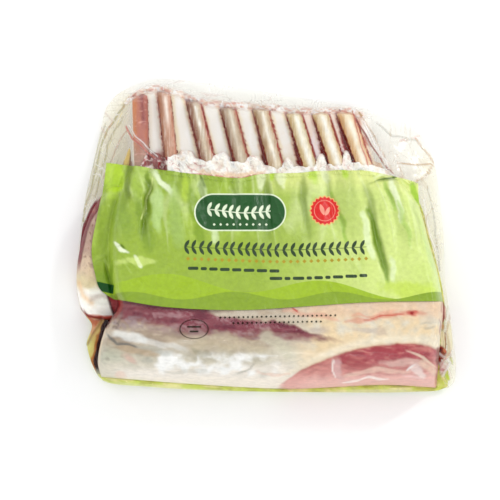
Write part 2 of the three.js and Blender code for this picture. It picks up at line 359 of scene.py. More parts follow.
# %% Paths of the folds and grooves
# Each fold of film: its path, rise, half width, tint and how much of the tint shows. A white tint is a
# painted highlight along the fold.
FOLDS = [
    ([(-88.9, 81), (-99.8, 66), (-104, 52), (-114.7, 9)], 1.2, 0.9, "olive", 0.7),
    ([(-90, 74), (-97, 62), (-107, 24)], 0.9, 0.8, "olive", 0.6),
    ([(-86, 66), (-92, 58), (-101, 36)], 0.8, 0.8, "tan", 0.55),
    ([(-101, 70), (-109, 42), (-114, 26)], 0.8, 0.8, "olive", 0.5),
    ([(-99, 66), (-97, 72), (-101, 77), (-105, 70), (-101, 64)], 0.8, 0.7, "tan", 0.4),
    ([(-87.7, 68.3), (-83.4, 60.3), (-76, 53), (-68.8, 46.8)], 1.2, 0.7, "pink", 0.9),
    ([(-85.5, 68.8), (-81, 61), (-73.5, 53.6), (-67, 48)], 0.6, 0.5, "white", 0.8),
    ([(58.8, 76.3), (68.6, 60.4), (79, 38.3)], 1.2, 0.7, "tan", 0.5),
    ([(57, 71), (62.4, 62), (74.7, 42), (79, 38)], 1.4, 0.6, "red", 0.9),
    ([(61.5, 71), (66, 61), (77, 42)], 0.8, 0.7, "white", 0.9),
    ([(55, 77), (56.5, 64), (60, 52), (63, 43)], 0.5, 0.6, "pink", 0.6),
    ([(93.6, 61), (105.4, 45.6), (99.8, 36.3), (89.9, 31.3), (84, 36.5)], 1.2, 0.8, "tan", 0.7),
    ([(83, 45), (92, 44), (103, 45)], 1.0, 0.7, "tan", 0.7),
    ([(82, 50), (83, 43), (86, 36)], 0.8, 0.7, "tan", 0.5),
    ([(84, 58.6), (95.5, 62.3)], 0.8, 0.9, "pink", 0.45),
    ([(70, 70), (80, 62), (93, 60)], 0.8, 0.8, "grey", 0.5),
    ([(101.7, 30.7), (106, 5), (108.5, -22)], 0.9, 0.8, "grey", 0.5),
    ([(98, 22), (101, 8), (106, -10)], 0.8, 0.9, "white", 0.8),
    ([(116, -47.4), (113, -60), (116.5, -80)], 1.0, 0.8, "tan", 0.4),
    ([(113.7, -44), (110.5, -61.7), (112, -80)], 1.0, 0.7, "olive", 0.3),
    ([(108.5, -74), (115.5, -80), (110, -88)], 1.2, 0.9, "white", 0.8),
    ([(108, -84), (115, -74)], 0.8, 0.8, "pink", 0.5),
    ([(-103, -53.4), (-112, -68.3)], 0.8, 0.9, "red", 0.45),
    ([(-115, -45.6), (-110.4, -50.5), (-103, -51.8)], 0.6, 1.1, "red", 0.7),
    ([(-108, -18), (-100, -14), (-97, -21)], 1.2, 1.0, "none", 0.0),
    ([(-96, -15), (-88, -18), (-84, -25)], 0.9, 1.0, "none", 0.0),
    ([(-91, -9), (-85, -17), (-78, -22)], 0.9, 0.9, "none", 0.0),
    ([(67, 34.6), (75, 36), (82, 37)], 1.6, 0.8, "none", 0.0),
    ([(-69, 36), (-67, 26), (-69, 8)], 1.3, 1.8, "none", 0.0),
    ([(78, 31), (86, 8), (88, -10)], 1.2, 2.2, "none", 0.0),
    ([(47, -2), (51, -14), (60, -28)], 0.9, 1.8, "none", 0.0),
    ([(-50, 34), (-47, 22), (-44, 8)], 0.9, 2.0, "none", 0.0),
    ([(-97, -62), (-83, -63.5), (-70, -67), (-53, -72)], 1.5, 2.6, "none", 0.0),
    ([(-66, -70), (-40, -74), (-10, -76)], 0.8, 2.2, "none", 0.0),
]
TINTS = {"olive": "#AFA770", "tan": "#C49E78", "pink": "#D78478", "red": "#92302A", "white": "#FFFFFF",
         "grey": "#B4B3AA"}

# Each groove, where the film is sucked down between ribs or lumps: its path, depth and half width.
GROOVES = [
    ([(-86.5, 44), (-86, 30), (-88, 10)], 2.0, 3.0),
    ([(-74, 38), (-72.5, 18), (-75, -8)], 2.2, 2.0),
    ([(-57, 42), (-54, 20)], 1.2, 2.2),
    ([(-42, 42), (-39, 24), (-35, 2)], 1.9, 2.2),
    ([(-22, 40), (-19, 22), (-16, 2)], 1.5, 2.6),
    ([(0.5, 43), (1.5, 20), (3, -10)], 1.8, 2.6),
    ([(21.5, 43), (23.5, 20), (28, -10)], 2.0, 2.8),
    ([(37, 46), (39.5, 24), (44, -2)], 1.5, 2.4),
    ([(60, 38), (66, 8), (76, -34)], 2.2, 3.2),
    ([(89, 28), (94, 6), (99, -16)], 1.0, 2.2),
    ([(-99.5, -13), (-97, -26), (-94.5, -41)], 2.2, 1.2),
    ([(62, 31), (74, 33.5), (86, 35)], 1.8, 1.0),
    ([(-100, -61), (-94.6, -66.6), (-86, -68.4), (-79, -70)], 1.8, 1.3),
    ([(-85.3, 44), (-85.3, 22)], 1.4, 1.8),
    ([(-72, 34), (-71.5, 27), (-74.4, 12), (-75, 0)], 1.6, 1.1),
    ([(-42, 37), (-37.5, 27.6)], 1.0, 0.7),
    ([(41, 26.4), (45.6, 11.5), (49.6, -5.3)], 1.2, 1.6),
    ([(63, 15), (67, 1), (70.7, -14.6), (74.8, -31)], 1.6, 2.0),
    ([(73, 32), (76, 25), (79, 15)], 1.1, 1.2),
    ([(-94, -8), (-89.5, -7), (-87, -9)], 1.2, 0.8),
    ([(48, -70), (46, -80), (48, -90)], 0.9, 1.3),
]


def folds(x, y):
    return sum(rise * line_share(x, y, path, width, 0.7, 0.6) for path, rise, width, _, _ in FOLDS)


def grooves(x, y):
    return sum(depth * line_share(x, y, path, width, 1.2, 1.0) for path, depth, width in GROOVES)


def pleats(x, y):
    """0 to 1: the film's upright pleats over the ribs under the print."""
    return creases(x + 0.12 * y, y / 4, 10, 171) * ease(y, -30, 5) * ease(x, -104, -92)


print(len(FOLDS), "folds and", len(GROOVES), "grooves")

# %% [markdown]
# ### Scraps and lumps under the film
# Cleaning the ribs leaves soft fat heaped at their foot, and the fat on the loin's front is lumpy. Both
# are low swells that the film follows, so they belong to the height that every layer starts from.

# %% Height of the scraps and lumps
# Each hump of scraped fat at the foot of a gap: its sides, its top and how red it is.
SCRAPS = [(-78, -62, 52, 0.95), (-59, -41, 54, 0.3), (-36.6, -19, 52, 0.1), (-16.5, 0.5, 49.5, 0.1),
          (8.5, 18, 47.5, 0.15), (29.5, 38.5, 50.5, 0.15), (46, 53.5, 53, 0.15)]
strip_top = curve([(-64, 48), (-58, 50), (-50, 49), (-38, 46.4), (-16, 45.4), (6, 42), (27, 42.6),
                   (44, 43.8), (60, 44.6), (78, 40)])


def scrap_share(x, y):
    """1 on the humps of scraped fat, and on the thin strip of it along the print."""
    ragged = noise(x / 2.2, y / 2.2, 151)
    dip = sum(1.2 * np.exp(-((x - rib_x(rib, y)) / 3.2) ** 2) for rib in RIBS)
    share = ease(strip_top(x) + 0.8 * ragged - dip - y, 0, 1) * ease(x, -65, -62) * ease(77 - x, 0, 4)
    for left, right, top, _ in SCRAPS:
        across = (x - (left + right) / 2) / ((right - left) / 2)
        up = (y - print_far(x) + 2) / (top - print_far(x) + 2)
        hump = ease(1 - up - 0.9 * np.abs(across) ** 2.6 + 0.07 * ragged, 0, 0.2) * (np.abs(across) < 1.15)
        share = np.maximum(share, hump)
    return share * ease(y - print_far(x) + 3, 0, 1)


def scrap_z(x, y):
    lumps = 0.5 + 1.7 * creases(x, y, 3.6, 152, 0.4) + 0.6 * noise(x / 1.2, y / 1.2, 153)
    return scrap_share(x, y) * lumps


def relief(x, y):
    """Lumps of fat on the front of the loin, and the scraps."""
    region = ease(-64 - y, 0, 6) * ease(y + 94, 0, 6) * ease(x + 100, 0, 8) * ease(16 - x, 0, 20)
    lumps = 1.9 * clouds(x / 2.0, y, 7.5, 161, 3) + 1.2 * creases(x / 2.0, y, 6, 162)
    muscle = 0.7 * clouds(x / 3, y + 0.12 * x, 5, 163, 3) * ease(x, 26, 40) * ease(-68 - y, 0, 6)
    return (lumps * region + muscle) * ease(y - loin_foot(x), 1, 10) + scrap_z(x, y)


print(len(SCRAPS), "humps of scraped fat")


# %% [markdown]
# ### The film's outside
# The film lies on the food, stands off where it is slack, and drops into the grooves. Past FILM_SOFT_TOP
# its height is eased off within FILM_HEADROOM, so that no crease stands out above the solid.

# %% Height of the film
def skirt_creases(x, y):
    """0 to 1: fine crinkles of the skirt, which run along the nearest edge of the food."""
    far = creases(x, y, 3.4, 21, 1.62, 4.0)
    left = creases(x, y, 4.4, 22, -0.34, 8.0)
    right = 0.15 * creases(x, y, 9.0, 24, 0.9, 2.0)
    sides = mix(right, left, ease(-70 - x, 0, 10))
    return mix(sides, far, ease(y - tip_y(x), -3, 2) * ease(70 - x, -16, 10))


def film_z(x, y):
    """The outside of the upper sheet of film."""
    food = food_z(x, y) + relief(x, y)
    cover = ease(np.maximum(rack_z(x, y), second_rack_z(x, y)) - web_z(x, y), 0, 8)
    among_ribs = ease(y, 46, 52) * ease(x, -84, -76) * ease(66 - x, 0, 8) * ease(tip_y(x) - y, -3, 3)
    slack = mix(1.0, 0.25, np.maximum(cover, among_ribs * 1.2))
    loose = 0.7 * creases(x, y, 17, 26, 0.5) * (1 - 0.7 * ease(x, 60, 80)) + 0.75 * skirt_creases(x, y)
    printed = ease(print_far(x) - y, 2.5, 8) * ease(y - print_near(x), 0, 5)
    tight = 0.22 * creases(x, y, 5.0, 23, 0.2) + 0.25 * clouds(x, y, 12, 25, 3)
    tight = tight + 0.9 * printed * pleats(x, y)
    sunk = grooves(x, y) * np.where(y < -50, 1.0, printed)
    tips = 0.9 * line_tips(x, y)
    z = food + slack * loose + tight * ease(cover, 0.2, 1) + folds(x, y) + tips - sunk * cover
    over = np.maximum(z - FILM_SOFT_TOP, 0)
    return z - over + FILM_HEADROOM * (1 - np.exp(-over / FILM_HEADROOM))


def line_tips(x, y):
    """The bunched line of film just past the ribs' tips."""
    wander = 0.8 * noise(x / 6, y / 6, 43)
    return np.exp(-((y - tip_y(x) - 1.8 - wander) / 2.3) ** 2) * ease(x, -92, -84) * ease(64 - x, 0, 6)


print("film over the crest, mm:", np.round(film_z(np.zeros(1), np.full(1, CREST_Y)), 1))

# %% [markdown]
# ## Nets and meshes
# Every layer is a net of columns and rows that follows the bag's edges and the ribs, as the threads of
# a cloth would. The crossing of a bent column and a bent row is found by a few passes.

# %% From a net to a mesh
def between(a, b, share):
    return lambda y: mix(a(y), b(y), share)


def rib_line(rib, offset):
    return lambda y: rib_x(rib, y) + offset * rib[2]


def net(columns, rows):
    """X and Y, one row of the arrays for each row of the net."""
    x = np.tile([float(column(0.0)) for column in columns], (len(rows), 1))
    for _ in range(12):
        y = np.array([row(x[i]) for i, row in enumerate(rows)])
        x = np.array([column(y[:, i]) for i, column in enumerate(columns)]).T
    return x, y


def spread(a, b, count, last=False, spacing=lambda share: share):
    """Count lines from a to b, without b unless it is the last."""
    steps = range(count + 1 if last else count)
    return [between(a, b, spacing(i / count)) for i in steps]


guides = [left_rim, left_end, *[rib_line(rib, 0) for rib in RIBS], right_end, right_rim]
shoulder = lambda x: SHOULDER_Y + 0 * x
crest = lambda x: CREST_Y + 0 * x
bunched = lambda share: math.sin(share * math.pi / 2)


def bag_net(fine):
    """The net of a whole sheet of film; fine is the number of threads to a rib gap."""
    columns = spread(guides[0], guides[1], int(1.5 * fine)) + spread(guides[1], guides[2], int(1.7 * fine))
    for i in range(2, 9):
        columns += spread(guides[i], guides[i + 1], fine)
    columns += spread(guides[9], guides[10], int(1.5 * fine)) + spread(guides[10], guides[11], fine, True)
    rows = spread(far_rim, tip_y, fine) + spread(tip_y, root_y, 3 * fine)
    rows += spread(root_y, shoulder, 4 * fine) + spread(shoulder, crest, int(1.5 * fine))
    rows += spread(crest, loin_foot, int(2.5 * fine), False, bunched)
    rows += spread(loin_foot, near_rim, fine // 2, True)
    return net(columns, rows)


shift = np.zeros(2)


def make_mesh(name, vertices, faces):
    """A smooth mesh object from points in millimetres, moved into the frame and to metres."""
    points = np.array(vertices, float)
    points[:, 0] += shift[0]
    points[:, 1] += shift[1]
    mesh = bpy.data.meshes.new(name)
    mesh.from_pydata((points / 1000).tolist(), [], faces)
    mesh.polygons.foreach_set("use_smooth", [True] * len(mesh.polygons))
    made = bpy.data.objects.new(name, mesh)
    bpy.context.scene.collection.objects.link(made)
    print(name, len(mesh.polygons), "faces")
    return made


def grid_faces(index, keep=None):
    """Quads over a grid of vertex numbers, facing up; keep says which quads stay."""
    quads = np.stack([index[:-1, :-1], index[1:, :-1], index[1:, 1:], index[:-1, 1:]], axis=-1)
    quads = quads.reshape(-1, 4) if keep is None else quads[keep]
    return quads.tolist()


def sheet(name, x, y, z, keep=None, down=False):
    """One layer of film or ink."""
    index = np.arange(x.size).reshape(x.shape)
    faces = grid_faces(index, keep)
    if down:
        faces = [face[::-1] for face in faces]
    return make_mesh(name, np.stack([x, y, z], axis=-1).reshape(-1, 3), faces)


def pillow(name, x, y, top, bottom):
    """A closed body whose upper and lower skins meet along the net's edge."""
    upper = np.arange(x.size).reshape(x.shape)
    lower = upper.copy()
    inner = (slice(1, -1), slice(1, -1))
    lower[inner] = x.size + np.arange(lower[inner].size).reshape(lower[inner].shape)
    skin = bottom.copy()
    skin[inner] = top[inner]
    points = np.stack([x, y, skin], axis=-1).reshape(-1, 3)
    below = np.stack([x[inner], y[inner], bottom[inner]], axis=-1).reshape(-1, 3)
    faces = grid_faces(upper) + [face[::-1] for face in grid_faces(lower)]
    return make_mesh(name, np.concatenate([points, below]), faces)


def store(piece, name, values):
    """Keeps one number for each vertex under a name that a material can read."""
    data = np.zeros(len(piece.data.vertices))
    flat = np.ravel(values)
    data[:flat.size] = flat
    piece.data.attributes.new(name, "FLOAT", "POINT").data.foreach_set("value", data)


def store_colour(piece, name, colours, rest=None):
    """Keeps one colour for each vertex."""
    data = np.ones((len(piece.data.vertices), 4))
    flat = np.reshape(colours, (-1, 3))
    data[:len(flat), :3] = flat
    if rest is not None:
        data[len(flat):, :3] = rest
    piece.data.attributes.new(name, "FLOAT_COLOR", "POINT").data.foreach_set("color", data.ravel())


# %% [markdown]
# ## Colours and materials
# Colours are written as sRGB hex and turned to linear light once. Food is painted by rule onto its
# vertices, from masks worked out in millimetres, and its material adds the fine grain, the bump and
# the wetness. Ink is stored as distances to each shape's edge, which keeps the edges crisp.

# %% Helpers for colours and nodes
def linear(hex_colour):
    """An sRGB hex colour as linear red, green and blue."""
    srgb = np.array([int(hex_colour[i:i + 2], 16) / 255 for i in (1, 3, 5)])
    return np.where(srgb <= 0.04045, srgb / 12.92, ((srgb + 0.055) / 1.055) ** 2.4)


def rgba(hex_colour):
    return (*linear(hex_colour), 1.0)


def tint(below, hex_colour, share):
    """A painted colour laid over another by a share for each vertex."""
    return below + (linear(hex_colour) - below) * np.asarray(share)[..., None]


def plain(x, hex_colour):
    """One colour at every point of an array."""
    return np.ones((*np.shape(x), 3)) * linear(hex_colour)


def node(tree, kind, settings=None, inputs=None):
    """One node with its settings, and its inputs by name or number: a value or another node's output."""
    made = tree.nodes.new(kind)
    for name, value in (settings or {}).items():
        setattr(made, name, value)
    for key, value in (inputs or {}).items():
        socket = made.inputs[key]
        if isinstance(value, bpy.types.NodeSocket):
            tree.links.new(value, socket)
        else:
            socket.default_value = value
    return made


def new_material(name):
    """An empty material and its node tree."""
    material = bpy.data.materials.new(name)
    material.use_nodes = True
    material.node_tree.nodes.clear()
    return material, material.node_tree


def place(tree):
    """Object coordinates in millimetres, the scale that every pattern is written in."""
    where = node(tree, "ShaderNodeTexCoord")
    scaled = node(tree, "ShaderNodeVectorMath", {"operation": "SCALE"},
                  {0: where.outputs["Object"], "Scale": 1000.0})
    return scaled.outputs[0]


# %% [markdown]
# ### Clear vacuum film
# Nylon and polyethylene barrier film, about 0.1 mm thick. It is clear, it takes a gloss that breaks up
# on the crinkles, and its folded edges go a little milky and tan where the light runs along them.
# A full gloss would lay the white studio over the dark meat as a grey veil. So the gloss is capped low,
# and left off for shadow and diffuse rays, which real film lets through.

# %% Clear film material
FILM_IOR = 1.45
FILM_CRINKLE_MM = 8.0
FILM_MOST_SHINE = 0.025


def fine_lines(tree, mm, across_mm, width, at, turn):
    """Thin wandering lines of a material: 1 on a line and 0 off it."""
    moved = node(tree, "ShaderNodeMapping", {}, {"Vector": mm, "Location": at, "Rotation": (0, 0, turn),
                                                 "Scale": (1.0, 0.45, 0.3)})
    field = node(tree, "ShaderNodeTexNoise", {}, {"Vector": moved.outputs[0], "Scale": 1 / across_mm,
                                                  "Detail": 2.0, "Distortion": 1.2})
    centred = node(tree, "ShaderNodeMath", {"operation": "SUBTRACT"}, {0: field.outputs[0], 1: 0.5})
    off = node(tree, "ShaderNodeMath", {"operation": "ABSOLUTE"}, {0: centred.outputs[0]})
    line = node(tree, "ShaderNodeMapRange", {}, {
        "Value": off.outputs[0], "From Min": 0.0, "From Max": width, "To Min": 1.0, "To Max": 0.0})
    return line.outputs[0]


def clear_film(name, milk):
    """Film whose milkiness is milk where it lies flat, and more along folds and fine crinkles."""
    material, tree = new_material(name)
    mm = place(tree)
    tan_line = fine_lines(tree, mm, 17.0, 0.012, (3, 8, 0), 0.5)
    white_line = fine_lines(tree, mm, 9.0, 0.02, (40, 2, 0), -0.8)
    loose = node(tree, "ShaderNodeAttribute", {"attribute_name": "loose"}).outputs["Fac"]
    crinkle = node(tree, "ShaderNodeTexNoise", {"noise_dimensions": "3D"}, {
        "Vector": mm, "Scale": 1 / FILM_CRINKLE_MM, "Detail": 3.0, "Roughness": 0.5, "Distortion": 1.5})
    lined = node(tree, "ShaderNodeMath", {"operation": "MULTIPLY"}, {0: white_line, 1: loose})
    height = node(tree, "ShaderNodeMath", {"operation": "MULTIPLY_ADD"},
                  {0: lined.outputs[0], 1: 0.3, 2: crinkle.outputs[0]})
    bump = node(tree, "ShaderNodeBump", {}, {
        "Strength": 0.35, "Distance": 0.0006, "Height": height.outputs[0]})
    tan_share = node(tree, "ShaderNodeMath", {"operation": "MULTIPLY"}, {0: tan_line, 1: loose})
    painted = node(tree, "ShaderNodeVertexColor", {"layer_name": "haze_colour"})
    with_tan = node(tree, "ShaderNodeMix", {"data_type": "RGBA"},
                    {0: tan_share.outputs[0], 6: painted.outputs[0], 7: rgba("#BFA67E")})
    colour = node(tree, "ShaderNodeMix", {"data_type": "RGBA"},
                  {0: lined.outputs[0], 6: with_tan.outputs[2], 7: rgba("#FFFFFF")}).outputs[2]
    fold = node(tree, "ShaderNodeAttribute", {"attribute_name": "haze"})
    lines = node(tree, "ShaderNodeMath", {"operation": "ADD"},
                 {0: tan_share.outputs[0], 1: lined.outputs[0]})
    amount = node(tree, "ShaderNodeMath", {"operation": "MULTIPLY_ADD"},
                  {0: lines.outputs[0], 1: 0.2, 2: fold.outputs["Fac"]})
    amount = node(tree, "ShaderNodeMath", {"operation": "ADD", "use_clamp": True},
                  {0: amount.outputs[0], 1: milk})
    clear = node(tree, "ShaderNodeBsdfTransparent", {}, {"Color": rgba("#FFFFFD")})
    shine = node(tree, "ShaderNodeBsdfAnisotropic", {"distribution": "GGX"},
                 {"Color": (1, 1, 1, 1), "Roughness": 0.13, "Normal": bump.outputs[0]})
    lit = node(tree, "ShaderNodeBsdfDiffuse", {}, {"Color": colour})
    through = node(tree, "ShaderNodeBsdfTranslucent", {}, {"Color": colour})
    haze = node(tree, "ShaderNodeMixShader", {}, {0: 0.4, 1: lit.outputs[0], 2: through.outputs[0]})
    body = node(tree, "ShaderNodeMixShader", {}, {0: amount.outputs[0], 1: clear.outputs[0],
                                                 2: haze.outputs[0]})
    rim = node(tree, "ShaderNodeFresnel", {}, {"IOR": FILM_IOR, "Normal": bump.outputs[0]})
    ray = node(tree, "ShaderNodeLightPath")
    passing = node(tree, "ShaderNodeMath", {"operation": "MAXIMUM"},
                   {0: ray.outputs["Is Shadow Ray"], 1: ray.outputs["Is Diffuse Ray"]})
    capped = node(tree, "ShaderNodeMath", {"operation": "MINIMUM"}, {0: rim.outputs[0], 1: FILM_MOST_SHINE})
    shiny = node(tree, "ShaderNodeMath", {"operation": "MULTIPLY_ADD"},
                 {0: passing.outputs[0], 1: -1.0, 2: capped.outputs[0]})
    shiny.use_clamp = True
    film = node(tree, "ShaderNodeMixShader", {}, {0: shiny.outputs[0], 1: body.outputs[0],
                                                 2: shine.outputs[0]})
    node(tree, "ShaderNodeOutputMaterial", {}, {"Surface": film.outputs[0]})
    return material


film_front_material = clear_film("clear_film_front", 0.0)
film_back_material = clear_film("clear_film_back", 0.03)
print(film_front_material.name, film_back_material.name)

# %% [markdown]
# ### Raw food
# Muscle, fat and bone share one kind of surface: painted colour, a fine mottle, a shallow bump and a
# faint gloss, as most of the wet shine is the film's. The mottle's size and the bump's height tell them
# apart. FOOD_DEPTH deepens every painted colour a little, as film pressed on wet meat does.

# %% Food material
FOOD_DEPTH = 0.9


def wet_food(name, mottle_mm, mottle_share, bump_mm, roughness, stretch=(1, 1, 1)):
    """Painted raw food with a mottle of a real size, stretched where fibres run."""
    material, tree = new_material(name)
    mm = place(tree)
    run = node(tree, "ShaderNodeMapping", {}, {"Vector": mm, "Scale": stretch})
    mottle = node(tree, "ShaderNodeTexNoise", {}, {"Vector": run.outputs[0], "Scale": 1 / mottle_mm,
                                                   "Detail": 6.0, "Roughness": 0.62, "Distortion": 0.4})
    paint = node(tree, "ShaderNodeVertexColor", {"layer_name": "paint"})
    lift = node(tree, "ShaderNodeMapRange", {}, {
        "Value": mottle.outputs[0], "From Min": 0.3, "From Max": 0.7,
        "To Min": FOOD_DEPTH * (1 - mottle_share), "To Max": FOOD_DEPTH * (1 + mottle_share)})
    colour = node(tree, "ShaderNodeVectorMath", {"operation": "SCALE"},
                  {0: paint.outputs[0], "Scale": lift.outputs[0]})
    bump = node(tree, "ShaderNodeBump", {}, {"Strength": 0.5, "Distance": bump_mm / 1000,
                                            "Height": mottle.outputs[0]})
    skin = node(tree, "ShaderNodeBsdfPrincipled", {}, {
        "Base Color": colour.outputs[0], "Roughness": roughness, "IOR": 1.4, "Specular IOR Level": 0.1,
        "Normal": bump.outputs[0]})
    node(tree, "ShaderNodeOutputMaterial", {}, {"Surface": skin.outputs[0]})
    return material


muscle_and_fat = wet_food("raw_muscle_and_fat", 3.0, 0.12, 0.45, 0.34, (0.7, 1, 1))
bone_material = wet_food("scraped_rib_bone", 2.2, 0.12, 0.12, 0.36, (1, 0.3, 1))
scrap_material = wet_food("scraped_fat", 1.4, 0.10, 0.4, 0.3)
print(muscle_and_fat.name, bone_material.name, scrap_material.name)

# %% [markdown]
# ## The bag
# The two sheets of film meet along the rim. The upper one carries every crease, so it has the finer
# net; the lower one uses every second thread, and the upper one's odd rim points lie straight between
# its even ones, so that the seam has no gap.

# %% Upper and lower film
FINE = 24
bag_x, bag_y = bag_net(FINE)
if bag_x.shape[0] % 2 == 0 or bag_x.shape[1] % 2 == 0:
    raise SystemExit("the bag's net needs an odd number of columns and rows")
shift[:] = [-(bag_x.min() + bag_x.max()) / 2, -(bag_y.min() + bag_y.max()) / 2]
print("bag net", bag_x.shape, "shift", shift)


def inside_rim(x, y):
    """Distance in from the rim, roughly."""
    return np.minimum(np.minimum(x - left_rim(y), right_rim(y) - x),
                      np.minimum(far_rim(x) - y, y - near_rim(x)))


def straighten_rim(values):
    """Puts every odd rim point midway between its neighbours."""
    for edge in (values[0, :], values[-1, :], values[:, 0], values[:, -1]):
        edge[1:-1:2] = (edge[:-2:2] + edge[2::2]) / 2


seam = ease(inside_rim(bag_x, bag_y), 0.0, 3.0)
seam_z = rim_z(bag_x, bag_y) - SKIN / 2 + 0.5 * noise(bag_x / 5, bag_y / 5, 31)
front_z = mix(seam_z, film_z(bag_x, bag_y), seam)
back_z = mix(seam_z, np.maximum(under_z(bag_x, bag_y), 0.0), seam)
for values in (bag_x, bag_y, front_z, back_z):
    straighten_rim(values)
film_front = sheet("film_front", bag_x, bag_y, front_z)
film_back = sheet("film_back", bag_x[::2, ::2], bag_y[::2, ::2], back_z[::2, ::2], down=True)


# %% [markdown]
# ### Where the film turns milky
# Drawn film stays clear. Film that is folded, or gathered past the ribs' tips, goes white, olive or
# pink. Each point of the film keeps how milky it is and in which tint, and its material reads both.

# %% Milk and tint
def looseness(x, y):
    """1 in the skirt outside the food and its ribs."""
    skirt = 1 - ease(np.maximum(rack_z(x, y), second_rack_z(x, y)) - web_z(x, y), -1.0, 1.0)
    ribs_here = ease(x, -87, -83) * ease(68 - x, 0, 4) * ease(tip_y(x) + 1 - y, 0, 2)
    by_loin = ease(-42 - y, 0, 4) * np.maximum(ease(x - left_end(y) + 12, 0, 3) * ease(-80 - x, 0, 4),
                                               ease(right_end(y) + 5 - x, 0, 2) * ease(x, 90, 94))
    by_second = ease(x - second_rack_end(y) + 3.2, 0, 1) * ease(-90 - x, 0, 3)
    by_second = by_second * ease(y + 30, 0, 6) * ease(26 - y, 0, 6)
    return skirt * (1 - ribs_here) * (1 - by_loin) * (1 - by_second)


def haze(x, y):
    """How milky the film is: at folds, at the rim and on the crests of its crinkles. On a white fold the
    milk is a painted highlight.
    """
    crisp = ease(skirt_creases(x, y), 0.45, 0.9) * (1 + 0.5 * ease(y - tip_y(x), 0, 4))
    yellow = ease(-80 - x, 0, 8) * ease(y, -30, 0)
    cream = ease(x, 90, 100) * ease(58 - y, 0, 12)
    milky = looseness(x, y) * (0.03 + 0.16 * yellow + 0.12 * cream + 0.26 * crisp) + 0.85 * line_tips(x, y)
    for path, _, width, _, share in FOLDS:
        milky = np.maximum(milky, share * line_share(x, y, path, width))
    return clamp(milky)


def haze_colour(x, y):
    """White in the main, pink along the ribs' tips, and each fold in its own tint; a white fold's tint is a
    painted highlight.
    """
    colour = plain(x, "#FFFFFB")
    speckle = noise(x / 2.5, y / 1.2, 44)
    drift = noise(x / 9, y / 5, 45)
    lines = ease(skirt_creases(x, y), 0.4, 0.85)
    colour = tint(colour, "#EEE2A0", ease(-80 - x, 0, 8) * ease(y, -30, 0))
    colour = tint(colour, "#F4E4B4", ease(x, 90, 100) * ease(58 - y, 0, 12))
    colour = tint(colour, "#B9B27C", lines * ease(-78 - x, 0, 6) * ease(drift, -0.4, 0.2))
    far_side = lines * ease(y - tip_y(x), 0, 4)
    colour = tint(colour, "#D9BBB2", 0.8 * far_side * ease(drift, 0.0, 0.4))
    colour = tint(colour, "#C7C6C2", 0.8 * far_side * ease(-drift, 0.1, 0.4))
    tips = ease(line_tips(x, y), 0.1, 0.6)
    colour = tint(colour, "#F6E4D6", tips)
    colour = tint(colour, "#DFA196", 0.75 * tips * ease(speckle, 0.1, 0.5))
    colour = tint(colour, "#FFFFFF", tips * ease(-speckle, 0.1, 0.4))
    colour = tint(colour, "#A05A5C", 0.8 * tips * ease(noise(x / 1.6, y / 0.7, 46), 0.5, 0.7))
    for path, _, width, name, _ in FOLDS:
        if name != "none":
            colour = tint(colour, TINTS[name], ease(line_share(x, y, path, width), 0.2, 0.6))
    return colour


store(film_front, "loose", looseness(bag_x, bag_y))
store(film_front, "haze", haze(bag_x, bag_y))
store_colour(film_front, "haze_colour", haze_colour(bag_x, bag_y))
store(film_back, "loose", 0.5 * looseness(bag_x, bag_y)[::2, ::2])
store(film_back, "haze", np.zeros(len(film_back.data.vertices)))
store_colour(film_back, "haze_colour", plain(bag_x[::2, ::2], "#F7F5EE"))
film_front.data.materials.append(film_front_material)
film_back.data.materials.append(film_back_material)
print("dressed", film_front.name, film_back.name)

# %% [markdown]
# ## The rack's meat and fat
# The loin lies along the front under a cap of fat. From the photo: purple muscle and grey silverskin
# show under the print, then white and cream fat, and the bare red eye muscle at the lower right.
# One closed body has all of it, painted by masks whose edges are broken up with noise.

# %% Meat and fat of the first rack
MEAT_GAP = 0.5
MEAT_GAP_UNDER_PRINT = 2.8
